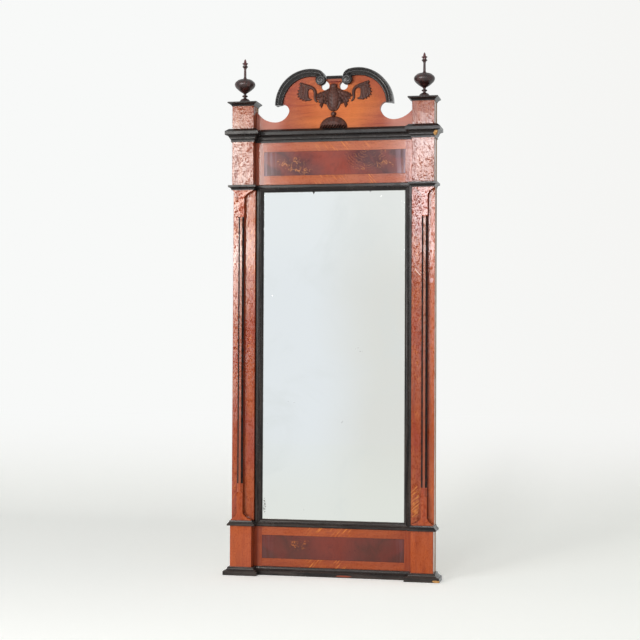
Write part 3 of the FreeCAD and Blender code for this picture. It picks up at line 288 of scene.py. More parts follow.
class Finish:
    """A material, its shader and the place on the object in metres."""

    def __init__(self, name):
        self.material = bpy.data.materials.new(name)
        self.tree = empty_tree(self.material)
        self.shader = lay(self.tree, "ShaderNodeBsdfPrincipled")
        lay(self.tree, "ShaderNodeOutputMaterial", Surface=Value(self.shader.outputs[0]))
        self.place = node("ShaderNodeTexCoord", None, "Object", self.tree)
        self.x, self.y, self.z = parts(self.place)

    def set(self, **inputs):
        """Feeds the shader."""
        for name, value in inputs.items():
            feed(self.shader, name, value)

    def fed(self, name):
        """What feeds an input of the shader so far."""
        return Value(self.shader.inputs[name].links[0].from_socket)

    def coat(self, *coats):
        """Puts coats over the colour so far."""
        self.set(Base_Color=coated(self.fed("Base Color"), *coats))

    def rubbed(self, reach, amount):
        """Where hands and dusters have rubbed an edge."""
        return shared(RUB, Place=self.place, Reach=reach, Amount=amount).rubbed

    def facing(self):
        """How far the face looks to the right, to the back and up."""
        return parts(node("ShaderNodeNewGeometry", None, "True Normal", self.tree))

    def hollow(self, reach):
        """1 in the open, less in corners. It places painted shade."""
        return node("ShaderNodeAmbientOcclusion", {"samples": 6}, "AO", self.tree, Distance=reach)


def grain_up(made):
    return point(made.x, made.y, made.z)


def grain_across(made):
    return point(made.z, made.y, made.x)


# Places on the mirror that the finishes follow, in metres: across from the middle, and up
FIELD_HALF = 0.2515
FACE_DEPTH = -0.014
FRIEZE_UP, FRIEZE_HALF_UP = 1.4392, 0.0421
BASE_UP, BASE_HALF_UP = 0.09715, 0.04035
SIGHT_HALF, SIGHT_UP, SIGHT_HALF_UP = 0.251, 0.7663, 0.5723
OUTER_SIDE = 0.353
STRIP_MIDDLE = 0.3239
LINE_FOOT, LINE_TOP_LEFT, LINE_TOP_RIGHT = 0.318, 1.2505, 1.2445
GROUND_DEPTH = -0.034
CREST_HEART_UP = 1.612
FILLET_HALF, FILLET_FOOT, FILLET_TOP, RED_LINE_FOOT = 0.0225, 1.7245, 1.7325, 1.7195
FINIAL_SHOULDER = 1.778

# Colours of the veneers: dark, middle and bright stripes, and the glow of broad patches
POST_TONES = (tone(136, 50, 20), tone(160, 66, 27), tone(173, 77, 33), tone(177, 83, 33))
TOP_TONES = (tone(118, 50, 28), tone(144, 70, 42), tone(158, 84, 52), tone(162, 88, 50))
GROUND_TONES = (tone(122, 45, 18), tone(150, 62, 25), tone(164, 75, 32), tone(170, 81, 32))
CREST_TONES = (tone(122, 44, 30), tone(165, 75, 45), tone(189, 100, 58), tone(196, 110, 56))
BAND_TONES = (tone(132, 56, 36), tone(157, 75, 49), tone(172, 89, 60), tone(178, 95, 52))
BASE_BAND_TONES = (tone(130, 50, 24), tone(153, 67, 34), tone(165, 77, 40), tone(169, 81, 36))
# Colours of the burr: its heart, sides, dark ends and gold flames
FRIEZE_TONES = (tone(134, 52, 36), tone(114, 49, 42), tone(76, 33, 35), tone(180, 112, 62))
BASE_TONES = (tone(118, 48, 36), tone(104, 45, 36), tone(86, 43, 34), tone(184, 102, 44))
PINE = (tone(196, 158, 112), tone(176, 134, 88), tone(142, 98, 60))
BLACK = tone(19, 18, 19)
BROWN_BLACK = tone(68, 59, 54)
RAW_WOOD = tone(206, 158, 96)
RED_WOOD = tone(142, 70, 52)


# Timber finishes
def veneer_finish(name, lie, tones, stripe, sway, patch, crazed, polish, curl=0, redder=0):
    """Polished veneer. lie says which way the grain runs. The outer side at the right is painted pale cream
    as a painted glare, and its corners get painted shade."""
    made = Finish(name)
    place, grain = made.place, lie(made)
    figure = figured(grain, stripe, sway, patch)
    old = shared(DULL, Place=grain, Cloud=5)
    dark, middle, bright, glow = tones
    base = ramp(figure.stripes, (0, dark), (0.5, middle), (1, bright))
    across, _, along = parts(grain)
    slant = point(across + along * -0.55, 0, (along + across) * 0.22)
    curls = ease(noise(slant, 150, 2, 0.5), 0.52, 0.66) * ease(noise(grain, 9, 2), 0.5, 0.6)
    drifts = ease(noise(stretch(grain, 0.3), 15, 3), 0.46, 0.64)
    lively = coated(base, (figure.patches * 0.7, glow), (drifts * redder, tone(146, 52, 52)),
                    (curls * curl, tone(216, 126, 44)))
    craze = noise(place, 200, 3, 0.75, 0.2) * 0.76 + noise(place, 80, 3, 0.6, 0.4) * 0.24
    cracks = ease(craze, 0.49, 0.56) * crazed
    # Painted glare: faces on the outer right side that look to the right are painted pale cream.
    painted_glare_side = ease(made.x, OUTER_SIDE, OUTER_SIDE + 0.003) * ease(made.facing()[0], 0.85, 0.95)
    colour = coated(blend(figure.pores * 0.55, lively, dark, "MULTIPLY"),
                    (made.rubbed(0.0012, 0.75), tone(112, 48, 28)),
                    (old.speck * 0.16, tone(214, 170, 140)),
                    (ease(craze, 0.53, 0.58) * (cracks * 0.82), dark),
                    # Painted shade: corners and recesses are darkened towards deep red-brown.
                    (ease(made.hollow(0.035), 0.75, 0.35, 0, 0.7), tone(62, 18, 8)),
                    (painted_glare_side * 0.78, tone(232, 202, 184)))
    kept = between(old.dull, polish, polish * 0.6) - cracks * (polish * 0.92)
    ripple = bump(noise(stretch(grain, 0.5), 60, 2, 0.5), 0.12, 0.0007)
    height = figure.stripes * 0.35 - (figure.pores + cracks)
    made.set(Base_Color=colour, Roughness=between(old.dull, 0.44, 0.58) + old.scuff * 0.1 + cracks * 0.15,
             Coat_Weight=kept * between(old.scuff, 1, 0.6), Coat_Roughness=0.11,
             Normal=bump(height, 0.24, 0.00025, ripple), Specular_IOR_Level=0.12)
    return made


def banding_finish(name, tones, polish, flashes, slope):
    """Banding round a panel: grain runs along the long sides and up the short ends. flashes are
    places across, with half widths, where a few gold lines catch the light. slope is how they lean."""
    made = veneer_finish(name, grain_across, tones, 40, 0.03, 8, 0.6, polish)
    x, z = made.x, made.z
    threads = ease(noise(point(x + z * slope, 0, z * 0.1), 210, 2, 0.5), 0.54, 0.7)
    lit = reduce(most, [ease(abs(x - spot), half, half * 0.3) for spot, half in flashes])
    upright = figured(made.place, 60, 0.01, 9)
    end_colour = ramp(upright.stripes, (0, tones[0]), (0.5, tones[1]), (1, tones[2]))
    ends = ease(abs(x), FIELD_HALF - 0.0002, FIELD_HALF + 0.0002)
    made.coat((threads * lit * 0.75, tone(230, 140, 58)), (ends, end_colour))
    return made


def feathered(made, colour, middle, dark, gold):
    """Fine rings about a place across and up, dark and gold by turns."""
    away = length(point(made.x - middle[0], 0, made.z - middle[1]))
    ragged = away + (noise(made.place, 34, 3, 0.65) - 0.5) * 0.046
    waves = worked("SINE", ragged * 610)
    nearby = ease(ragged, 0.11, 0.06) * ease(noise(made.place, 38, 3), 0.42, 0.58)
    return coated(colour, (ease(waves, 0, 0.9) * (nearby * 0.75), dark),
                  (ease(waves, -0.5, -0.98) * (nearby * 0.34), gold))


def burr_ground(made, swirl, up, tones, slope, lean):
    """A red heart, lighter sides and dark ends, with broken rings that fold about the middle."""
    heart, side, dark, _ = tones
    wander = (noise(swirl, 13, 3, 0.6, 1) - 0.5) * 0.75
    from_heart = abs(made.x + up * lean) / FIELD_HALF - up * slope + wander
    base = ramp(from_heart, (0.06, heart), (0.34, side), (0.62, dark), (0.9, side), (1, dark))
    rings = node("ShaderNodeTexWave", {"wave_type": "RINGS", "rings_direction": "Y"}, 1,
                 Vector=vector("SUBTRACT", swirl, (0.15, 0, 0.035)), Scale=21, Distortion=11,
                 Detail=3, Detail_Scale=1.8)
    broken = ease(noise(made.place, 24, 2), 0.44, 0.6)
    return blend(ease(rings, 0.45, 1) * (broken * 0.16), base, dark)


def burr_finish(name, middle_up, half_up, tones, flames, end_glare, slope, lean=0, feather=None):
    """Burr veneer opened like a book from the middle, with gold flames, eyes, painted glare as pale streaks
    at its ends and a dark line round its edge. feather is the middle of fine rings."""
    made = Finish(name)
    place, x = made.place, made.x
    dark, gold = tones[2:]
    up = made.z - middle_up
    book = point(abs(x), made.y, up)
    swirl = vector("ADD", book, scaled(drifting(book, 9), 0.075))
    ringed = burr_ground(made, swirl, up, tones, slope, lean)
    if feather:
        ringed = feathered(made, ringed, feather, dark, gold)
    fibres = noise(stretch(vector("ADD", swirl, place), 0.22), 80, 4, 0.6, 0.6)
    colour = blend(ease(fibres, 0.52, 0.72) * 0.22, ringed, tone(62, 22, 20))
    lively = ease(noise(swirl, 60, 4, 0.7, 1.6), 0.5, 0.64)
    for spot_x, spot_z, half_x, half_z in flames:
        flame = bare_spot(place, (spot_x, FACE_DEPTH, spot_z), (half_x, 0.02, half_z), 2.6)
        colour = blend(flame * lively * 0.85, colour, gold)
    eyes = node("ShaderNodeTexVoronoi", Vector=swirl, Scale=105)
    eye_marks = ease(eyes, 0.26, 0.1) * ease(noise(swirl, 18, 2), 0.56, 0.68)
    # Painted glare: pale purplish streaks painted near both ends of the panel.
    glare_comb = ease(noise(stretch(place, 0.05), 95, 2, 0.6), 0.42, 0.6)
    ends = ease(abs(x) / FIELD_HALF, 0.78, 0.98) * glare_comb
    string_line = ease(least(FIELD_HALF - abs(x), half_up - abs(up)), 0.0019, 0.0013)
    old = shared(DULL, Place=place, Cloud=7)
    uneven = bump(noise(swirl, 40, 2), 0.3, 0.0016)
    relief = fibres * 0.4 - (eye_marks + string_line)
    colour = coated(colour, (eye_marks * 0.6, tone(46, 20, 18)), (ends * end_glare, tone(134, 104, 116)),
                    (string_line * 0.6, tone(66, 26, 22)), (old.speck * 0.2, tone(204, 160, 140)))
    made.set(Base_Color=colour, Roughness=between(old.dull, 0.42, 0.56),
             Coat_Weight=between(old.dull, 0.55, 0.35) * between(old.scuff, 1, 0.6),
             Coat_Roughness=0.12, Specular_IOR_Level=0.1, Normal=bump(relief, 0.25, 0.0003, uneven))
    return made


def ebonised_finish(name, lie, rubbed_share, specular, shine=0.2, dusty=0.22, spots=()):
    """Wood stained black and polished, rubbed back to brown on its edges and browner near the floor.
    spots show raw wood: middle, half size, raggedness and colour."""
    made = Finish(name)
    grain = lie(made)
    figure = figured(grain, 90, 0.006, 12)
    old = shared(DULL, Place=grain, Cloud=14)
    colour = coated(BLACK, (figure.stripes * ease(made.z, 1.4, 0.02, 0.3, 0.95), BROWN_BLACK),
                    (figure.pores * (dusty * 2.2), tone(14, 12, 12)),
                    (made.rubbed(0.0014, rubbed_share), tone(96, 58, 40)),
                    (old.speck * dusty, tone(140, 136, 132)))
    gloss = between(old.dull, shine, shine + 0.12) + old.scuff * 0.08
    height = figure.stripes * 0.3 - figure.pores
    for middle, half, ragged, raw in spots:
        bare = bare_spot(made.place, middle, half, ragged)
        shaded = blend(figure.fleck, raw, tone(120, 62, 34))
        colour = blend(bare, colour, blend(0.55, shaded, raw))
        gloss = most(gloss, bare * 0.7)
        height = height - bare * 2
    ripple = bump(noise(stretch(grain, 0.08), 45, 2), dusty * 0.3, 0.0012)
    made.set(Base_Color=colour, Roughness=gloss, Normal=bump(height, dusty * 0.65, 0.0001, ripple),
             Specular_IOR_Level=specular)
    return made


def crest_finish():
    """Crest board: wavy grain across, an orange heart, painted glare on its low outer corners, a pale
    fillet with a red line of painted shade below the bar between the scrolls, painted shade above the urn,
    and a plain back."""
    made = veneer_finish("crest_veneer", grain_across, CREST_TONES, 68, 0.06, 7, 0.3, 0.35)
    x, z = made.x, made.z
    away = length(point(x * 0.8, 0, z - CREST_HEART_UP))
    loose = away + (noise(made.place, 9, 3) - 0.5) * 0.12
    wings = ease(x, -0.04, -0.15, 0, 0.34) + ease(x, 0.06, 0.15, 0, 0.18)
    # Painted glare: the low outer corners of the board are painted pale pink.
    low_wing_glare = ease(abs(x), 0.165, 0.215) * ease(z, 1.63, 1.59)
    # Painted shade: a dark red patch between the urn's collar and the bar.
    throat_shade = ease(z, 1.702, 1.708) * ease(abs(x), 0.019, 0.012)
    middle = ease(abs(x), FILLET_HALF + 0.002, FILLET_HALF)
    fillet = band(z, (FILLET_FOOT, FILLET_FOOT + 0.0007), (FILLET_TOP, FILLET_TOP - 0.0007)) * middle
    # Painted shade: a dark red line under the pale fillet below the bar.
    painted_shade_line = band(z, (RED_LINE_FOOT, RED_LINE_FOOT + 0.001), (FILLET_FOOT + 0.0002, FILLET_FOOT - 0.0005))
    rear = ease(made.facing()[1], 0.5, 0.9)
    made.coat((ease(loose, 0.14, 0.02) * 0.5, tone(212, 118, 60)),
              (ease(loose, 0.09, 0.2) * 0.65, tone(150, 66, 54)), (wings, tone(132, 60, 50)),
              (low_wing_glare * 0.42, tone(206, 146, 128)), (throat_shade * 0.6, tone(120, 36, 20)),
              (fillet * 0.75, tone(150, 88, 70)), (painted_shade_line * middle, tone(98, 22, 10)),
              (rear * 0.85, tone(150, 108, 74)))
    made.set(Coat_Weight=made.fed("Coat Weight") * (1 - rear))
    return made


def strip_finish():
    """The applied pilaster strip: veneer with its long chamfers blacked in, duller between them."""
    made = veneer_finish("strip_veneer", grain_up, POST_TONES, 70, 0.01, 8, 1, 0.95, redder=0.3)
    x, z = made.x, made.z
    sideways = abs(made.facing()[0])
    slanted = band(sideways, (0.3, 0.42), (0.97, 0.9))
    left_top = ease(z, LINE_TOP_LEFT + 0.0013, LINE_TOP_LEFT) * ease(x, 0, -0.001)
    right_top = ease(z, LINE_TOP_RIGHT + 0.0013, LINE_TOP_RIGHT) * ease(x, 0, 0.001)
    along = ease(z, LINE_FOOT, LINE_FOOT + 0.0015) * (left_top + right_top)
    off_middle = abs(abs(x) - STRIP_MIDDLE)
    arris = ease(off_middle, 0.0044, 0.005) * ease(sideways, 0.6, 0.3)
    blacked = most(slanted, arris) * along
    soiled = ease(noise(made.place, 90, 3), 0.3, 0.52, 0.86, 1)
    inner = ease(off_middle, 0.0052, 0.004) * along * ease(z, 0.55, 1.05, 0.7, 1)
    made.coat((inner * 0.55, tone(124, 84, 62)), (blacked * soiled, tone(14, 10, 10)))
    made.set(Coat_Weight=made.fed("Coat Weight") * between(blacked, 1, 0.25))
    return made


def ground_finish():
    """The boards behind the strips. The right one has a thin scratch and a dull nick high up, and
    slanting gold threads low down."""
    made = veneer_finish("ground_veneer", grain_up, GROUND_TONES, 74, 0.01, 6, 1, 1, 0.42, 0.38)
    x, z = made.x, made.z
    slant = point(z * 0.74 - x * 0.67, 0, (z * 0.67 + x * 0.74) * 0.12)
    threads = ease(noise(slant, 230, 2, 0.5), 0.48, 0.6)
    golden = bare_spot(made.place, (0.29, GROUND_DEPTH, 0.265), (0.017, 0.02, 0.062), 1.4)
    scratch_x, scratch_z = 0.2985, 1.0525
    along = x - scratch_x
    curve = along * -1.15 + along * along * 34
    off = abs(z - scratch_z - curve)
    scratch = ease(off, 0.0028, 0.0014) * ease(abs(along), 0.0112, 0.009)
    nick = bare_spot(made.place, (0.346, GROUND_DEPTH, 1.026), (0.006, 0.02, 0.0085), 1)
    # Painted light: the outer edge of the right board, past the strip, is painted lighter orange where the
    # strip's shadow falls.
    made.coat((golden * threads * 0.52, tone(220, 140, 60)),
              (ease(x, 0.334, 0.342, 0, 0.3), tone(214, 108, 48)),
              (scratch * 0.85, tone(244, 214, 196)), (nick * 0.6, tone(220, 180, 182)))
    return made


def carving_finish():
    """Carved ornament in stained wood: painted shade in its hollows, rubbed heights and fine tool marks."""
    made = Finish("carved_brown")
    figure = figured(made.place, 120, 0.004, 30)
    old = shared(DULL, Place=made.place, Cloud=28)
    base = ramp(figure.stripes, (0, tone(48, 23, 18)), (0.6, tone(70, 37, 29)), (1, tone(86, 47, 37)))
    # Painted shade: hollows of the carving are darkened towards near black.
    colour = coated(base, (ease(made.hollow(0.006), 0.82, 0.38), tone(20, 8, 6)),
                    (made.rubbed(0.0009, 0.55) * 0.7, tone(128, 84, 60)),
                    (old.dull * 0.22, tone(100, 58, 36)))
    tools = bump(noise(made.place, 420, 3, 0.6), 0.35, 0.0005)
    made.set(Base_Color=colour, Roughness=between(old.scuff, 0.44, 0.6), Specular_IOR_Level=0.32,
             Normal=bump(figure.stripes, 0.25, 0.0004, tools))
    return made


def finial_finish():
    """Turned finials: black over reddish wood, with fine rings from the lathe."""
    made = Finish("turned_black")
    figure = figured(made.place, 110, 0.012, 22)
    old = shared(DULL, Place=made.place, Cloud=20)
    base = ramp(figure.stripes, (0, tone(26, 13, 12)), (0.55, tone(46, 24, 21)), (1, tone(68, 32, 26)))
    top = ease(made.z, FINIAL_SHOULDER, FINIAL_SHOULDER + 0.022)
    colour = coated(base, (top * 0.65, tone(104, 44, 46)), (made.rubbed(0.0014, 0.5), tone(116, 64, 46)),
                    (old.speck * 0.22, tone(150, 138, 132)))
    turned = bump(noise(point(0, 0, made.z), 900, 2, 0.6), 0.3, 0.0004)
    made.set(Base_Color=colour, Roughness=between(old.dull, 0.22, 0.38) + old.scuff * 0.1,
             Specular_IOR_Level=0.6, Normal=bump(figure.stripes, 0.25, 0.0004, turned))
    return made


def softwood_finish(name, lie):
    """Bare pine of the carcass and the back: strong growth lines, knots, dust and age."""
    made = Finish(name)
    grain = lie(made)
    figure = figured(grain, 38, 0.03, 5)
    old = shared(DULL, Place=grain, Cloud=4)
    knots = node("ShaderNodeTexVoronoi", Vector=stretch(grain, 0.55, 0.2), Scale=5.5)
    rings = node("ShaderNodeTexWave", None, 1, Vector=stretch(grain, 0.05, 0.4), Scale=34, Distortion=7,
                 Detail=3, Detail_Scale=1.1)
    pale, mid, deep = PINE
    base = ramp(blend(0.5, figure.stripes, rings), (0, pale), (0.6, mid), (1, deep))
    colour = coated(base, (ease(knots, 0.22, 0.08) * 0.45, deep),
                    (ease(knots, 0.085, 0.05), tone(74, 44, 26)), (old.dull * 0.38, tone(112, 88, 64)),
                    (made.rubbed(0.0016, 0.8), tone(92, 68, 46)), (figure.pores * 0.25, tone(84, 60, 40)))
    sawn = bump(noise(stretch(grain, 8), 90, 2), 0.25, 0.0005)
    made.set(Base_Color=colour, Roughness=between(old.scuff, 0.66, 0.86),
             Normal=bump(figure.stripes + rings, 0.35, 0.0006, sawn))
    return made


# Glass and iron
def silvered_finish():
    """Old silvered glass: near clear, cloudy here and there, with specks where silver has lifted. A painted
    reflection shades it bluish at the left, greyer at the right, lighter at the top and warmer low down.
    """
    made = Finish("old_silvering")
    x, z = made.x, made.z
    flat = point(x, 0, z)
    clouds = noise(flat, 3.2, 4, 0.6, 0.8)
    # Painted reflection: a wavering share across the glass from left to right.
    painted_reflection_across = x + (noise(flat, 2.2, 2) - 0.5) * 0.22
    near_edge = least(SIGHT_HALF - abs(x), SIGHT_HALF_UP - abs(z - SIGHT_UP))
    creeping = ease(near_edge + noise(flat, 55, 4, 0.7) * 0.012, 0.0085, 0.0055)
    corner = bare_spot(flat, (-0.244, 0, 0.24), (0.005, 0.02, 0.028), 3.4)
    foxed = corner * ease(noise(flat, 240, 2), 0.5, 0.56)
    specks = node("ShaderNodeTexVoronoi", Vector=flat, Scale=70)
    lifted = ease(specks, 0.13, 0.08) * ease(noise(flat, 16, 2), 0.64, 0.72)
    # Painted reflection: bluish at the left to grey at the right, lighter towards the top and warmer
    # towards the bottom.
    colour = coated(
        tone(238, 242, 245), (ease(painted_reflection_across, -0.1, 0.17), tone(231, 231, 226)),
        (ease(z, 0.95, 1.3, 0, 0.45), tone(248, 251, 251)),
        (ease(z, 0.55, 0.22, 0, 0.8), tone(236, 238, 232)),
        (ease(clouds, 0.46, 0.76) * 0.5, tone(226, 230, 229)), (creeping * 0.4, tone(196, 194, 184)),
        (foxed * 0.9, tone(70, 64, 56)), (lifted * 0.85, tone(60, 56, 52)))
    made.set(Base_Color=colour, Roughness=most(ease(clouds, 0.4, 0.8, 0.012, 0.04), lifted * 0.3),
             Normal=bump(noise(flat, 2.6, 2), 0.03, 0.004), Metallic=1)
    return made


def iron_finish(name, iron, rust):
    """Forged iron gone dark, with rust in patches."""
    made = Finish(name)
    old = shared(DULL, Place=made.place, Cloud=60)
    grains = noise(made.place, 700, 4, 0.7)
    colour = coated(iron, (old.dull * 0.75, rust), (ease(grains, 0.5, 0.7) * 0.4, tone(40, 30, 26)),
                    (made.rubbed(0.0006, 0.6), tone(150, 142, 134)))
    made.set(Base_Color=colour, Roughness=between(old.dull, 0.38, 0.78),
             Normal=bump(grains, 0.4, 0.0004), Metallic=0.75)
    return made


TOP_VENEER = veneer_finish("top_block_veneer", grain_up, TOP_TONES, 62, 0.012, 7, 1, 0.95, redder=0.2)
FRIEZE_BAND = banding_finish("frieze_banding_veneer", BAND_TONES, 1, [
    (-0.045, 0.04), (0.02, 0.045), (0.13, 0.04)], 0.8)
BASE_BAND = banding_finish("base_banding_veneer", BASE_BAND_TONES, 0.6, [
    (-0.06, 0.045), (0.015, 0.03), (0.04, 0.035)], -0.9)
FRIEZE_BURR = burr_finish("frieze_burr", FRIEZE_UP, FRIEZE_HALF_UP, FRIEZE_TONES, [
    (-0.178, 1.444, 0.03, 0.012), (-0.14, 1.433, 0.04, 0.026), (-0.112, 1.414, 0.034, 0.014),
    (0.094, 1.423, 0.024, 0.012), (0.176, 1.432, 0.034, 0.014)], 0.75, 0.8, 1.1, (0.112, 1.499))
BASE_BURR = burr_finish("base_burr", BASE_UP, BASE_HALF_UP, BASE_TONES, [
    (-0.12, 0.1075, 0.034, 0.019)], 0.12, 3.4)
BLACK_ACROSS = ebonised_finish("ebonised_across", grain_across, 0.35, 0.22, spots=[
    ((0.3665, -0.06, 1.527), (0.013, 0.026, 0.0095), 1.2, RAW_WOOD),
    ((0.368, -0.064, 0.0045), (0.016, 0.01, 0.0045), 1, RAW_WOOD),
    ((0.044, -0.0345, 0.0056), (0.029, 0.02, 0.003), 0.5, RED_WOOD)])
BLACK_UP = ebonised_finish("ebonised_up", grain_up, 0.35, 0.18, dusty=0.42)
BLACK_ARCH = ebonised_finish("ebonised_arch", grain_across, 0.05, 0.46, shine=0.23, dusty=0.03)
CARVED = carving_finish()


def dress(finish, *nodes):
    for name in nodes:
        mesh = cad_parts[name].data
        mesh.materials.clear()
        mesh.materials.append(finish.material)


def both(*nodes):
    return [name + side for name in nodes for side in ("_left", "_right")]


dress(veneer_finish("post_veneer", grain_up, POST_TONES, 62, 0.012, 7, 0.6, 0.8), *both("plinth_block"))
dress(TOP_VENEER, *both("frieze_block", "pedestal_block"))
dress(ground_finish(), *both("ground_board"))
dress(strip_finish(), *both("pilaster_strip"))
dress(crest_finish(), "crest_board")
dress(FRIEZE_BAND, "frieze_banding")
dress(BASE_BAND, "base_banding")
dress(FRIEZE_BURR, "frieze_panel")
dress(BASE_BURR, "base_panel")
dress(BLACK_ACROSS, "plinth_moulding_centre", "cornice_centre", "glass_moulding_top",
      "glass_moulding_bottom", "crest_bar",
      *both("plinth_moulding", "lower_band", "neck_band", "cornice", "cap"))
dress(BLACK_UP, *both("glass_moulding"))
dress(BLACK_ARCH, *both("crest_arch"))
dress(finial_finish(), *both("finial"))
dress(softwood_finish("pine_up", grain_up), *both("stile"), "glass_wedges", "crest_dowels")
dress(softwood_finish("pine_across", grain_across), "top_rail", "bottom_rail", "back_board_lower",
      "back_board_middle", "back_board_upper")
dress(silvered_finish(), "mirror_glass")
dress(iron_finish("hanger_iron", tone(88, 84, 82), tone(112, 70, 48)), *both("hanger_plate", "hanger_ring"))
dress(iron_finish("nail_iron", tone(70, 64, 60), tone(104, 62, 42)), "back_nails", "hanger_screws")


# Carving, built as crowned leaves and stems on the face of the crest. Sizes are in millimetres
BOARD_FACE = -14.5
BOARD_BACK = 5.5
WALL_SUNK = 0.4
RIM_SUNK = 0.3
SET_LEFT = 2.6
URN_OUTLINE = [
    (5, 1714), (12.5, 1711), (12, 1703), (16.5, 1697), (28, 1690.5), (36, 1690.2),
    (40, 1686.2), (48.6, 1687.4), (52.4, 1682.6), (60.6, 1682.2), (60.8, 1676.4), (66, 1671.6),
    (59.6, 1668.4), (60.4, 1660.6), (53.2, 1659.8), (54.4, 1651), (48.8, 1648.4), (50.6, 1640),
    (46, 1637), (42.6, 1630.8), (38.5, 1638), (35.5, 1646.5), (29, 1645.5), (24, 1641),
    (18.5, 1629), (10, 1620.5), (0, 1618.8)]
SPRAY_OUTLINE = [
    (58, 1654.5), (63, 1659.5), (64.8, 1667), (63.2, 1676.5), (62.4, 1687), (66.2, 1697.5),
    (75, 1707), (88, 1713.4), (102, 1717.2), (110, 1720.8), (121.5, 1723), (125.6, 1716),
    (120.6, 1711.6), (128, 1705.6), (123.4, 1700.6), (131.8, 1694.8), (126.6, 1689.6), (134.8, 1682.6),
    (127.6, 1679.8), (131.8, 1671.6), (123.8, 1671.4), (124.8, 1664), (116.8, 1665.2), (114.8, 1658.8),
    (108.6, 1661), (104, 1656.6), (96, 1657.6), (85, 1658.8), (80, 1662.8),
    (90.4, 1668.4), (93, 1683.5), (92, 1694.5), (88, 1698.2), (80.5, 1696.8), (75.2, 1690),
    (73.2, 1680), (73.8, 1668), (70.4, 1657.6), (63.5, 1651)]
# Leaves: points down the middle as x, z, half width and share of the height, then how each is cut
URN_LEAVES = [
    ([(12, 1692, 7, 0.6), (24, 1686, 9.5, 0.85), (38, 1679, 10, 1), (51, 1674.5, 9.5, 0.98),
      (59.5, 1671.5, 5.5, 0.8), (63.5, 1669, 1.6, 0.4)],
     dict(height=9.4, lobes=5, lobe_depth=0.16, veins=0.3, ridge=0.1)),
    ([(19, 1680, 8, 0.6), (30, 1669, 9.5, 0.92), (39, 1656, 8.5, 0.95), (43.5, 1643, 5.5, 0.8),
      (43.5, 1633, 1.8, 0.4)],
     dict(height=8.8, lobes=5, lobe_depth=0.2, veins=0.4, ridge=0.12)),
    ([(12, 1676, 8, 0.7), (20, 1662, 8.5, 0.9), (27, 1651, 6.5, 0.8), (31, 1644.5, 1.8, 0.4)],
     dict(height=9.6, lobes=4, lobe_depth=0.2, veins=0.4, ridge=0.12)),
    ([(4, 1700, 4, 0.9), (11, 1697, 5.5, 1), (20, 1692.5, 5, 0.9), (29, 1690, 2, 0.5)],
     dict(height=10.5, lobes=3, lobe_depth=0.15, veins=0.3, ridge=0.08, along=40))]
URN_BODY = [
    ([(0, 1620, 4.5, 0.34), (0, 1624, 9, 0.55), (0, 1633, 14.5, 0.8), (0, 1645, 19.5, 0.94),
      (0, 1660, 23, 1), (0, 1673, 24, 0.98), (0, 1685, 21, 0.88), (0, 1694, 15.5, 0.76),
      (0, 1701, 11.5, 0.68)],
     dict(height=13.6, lobes=7, lobe_depth=0.04, veins=0.13, ridge=0.05, along=110,
          across=36, lean=0.9)),
    ([(0, 1699, 10.5, 0.62), (0, 1703, 12.5, 0.74), (0, 1708, 13, 0.78), (0, 1712, 12, 0.68),
      (0, 1715, 7, 0.42)],
     dict(height=13.2, along=30, across=24))]
SPRAY_LEAVES = [
    ([(63, 1655, 2.8, 0.5), (69.2, 1666, 3.6, 0.75), (67.8, 1680, 4.4, 0.9), (70, 1692, 4.6, 0.95),
      (77.5, 1702, 5.2, 1), (90, 1707.4, 6, 1), (103, 1711.4, 6.4, 1), (113, 1715.6, 5.4, 0.9),
      (120, 1719.6, 1.8, 0.5)],
     dict(height=7.2, along=90, across=14, ridge=0.06)),
    ([(103, 1706, 5.5, 0.75), (111.5, 1700, 8, 0.98), (114.5, 1690, 9, 1), (113, 1680, 8.5, 1),
      (107.5, 1670.5, 6, 0.85), (97, 1662.5, 1.6, 0.4)],
     dict(height=7, lobes=5, lobe_depth=0.18, veins=0.3, ridge=0.1, along=110,
          across=26))]


def place_on_board(x, z, lift):
    """From millimetres across, up and out of the board's face to metres."""
    return x * MM, (BOARD_FACE - lift) * MM, z * MM


def skin(bm, rows):
    """Faces between each row of points and the next."""
    for first, second in zip(rows, rows[1:]):
        for corners in zip(first, first[1:], second[1:], second):
            bm.faces.new(corners)


def sink(bm, rim):
    """A wall from the rim down into the board. A rim that ends where it starts closes."""
    depth = (BOARD_FACE + WALL_SUNK) * MM
    sunk = {}
    for corner in rim:
        if corner not in sunk:
            sunk[corner] = bm.verts.new((corner.co.x, depth, corner.co.z))
    skin(bm, [rim, [sunk[corner] for corner in rim]])


def smooth_line(points, count):
    """Points along a smooth curve through the given points."""
    line = []
    spans = len(points) - 1
    for step in range(count):
        t = step / (count - 1) * spans
        i = min(int(t), spans - 1)
        f = t - i
        four = [points[max(i - 1, 0)], points[i], points[i + 1], points[min(i + 2, spans)]]
        line.append(tuple(
            0.5 * (2 * b + (c - a) * f + (2 * a - 5 * b + 4 * c - d) * f * f
                   + (3 * b - a - 3 * c + d) * f ** 3)
            for a, b, c, d in zip(*four)))
    return line


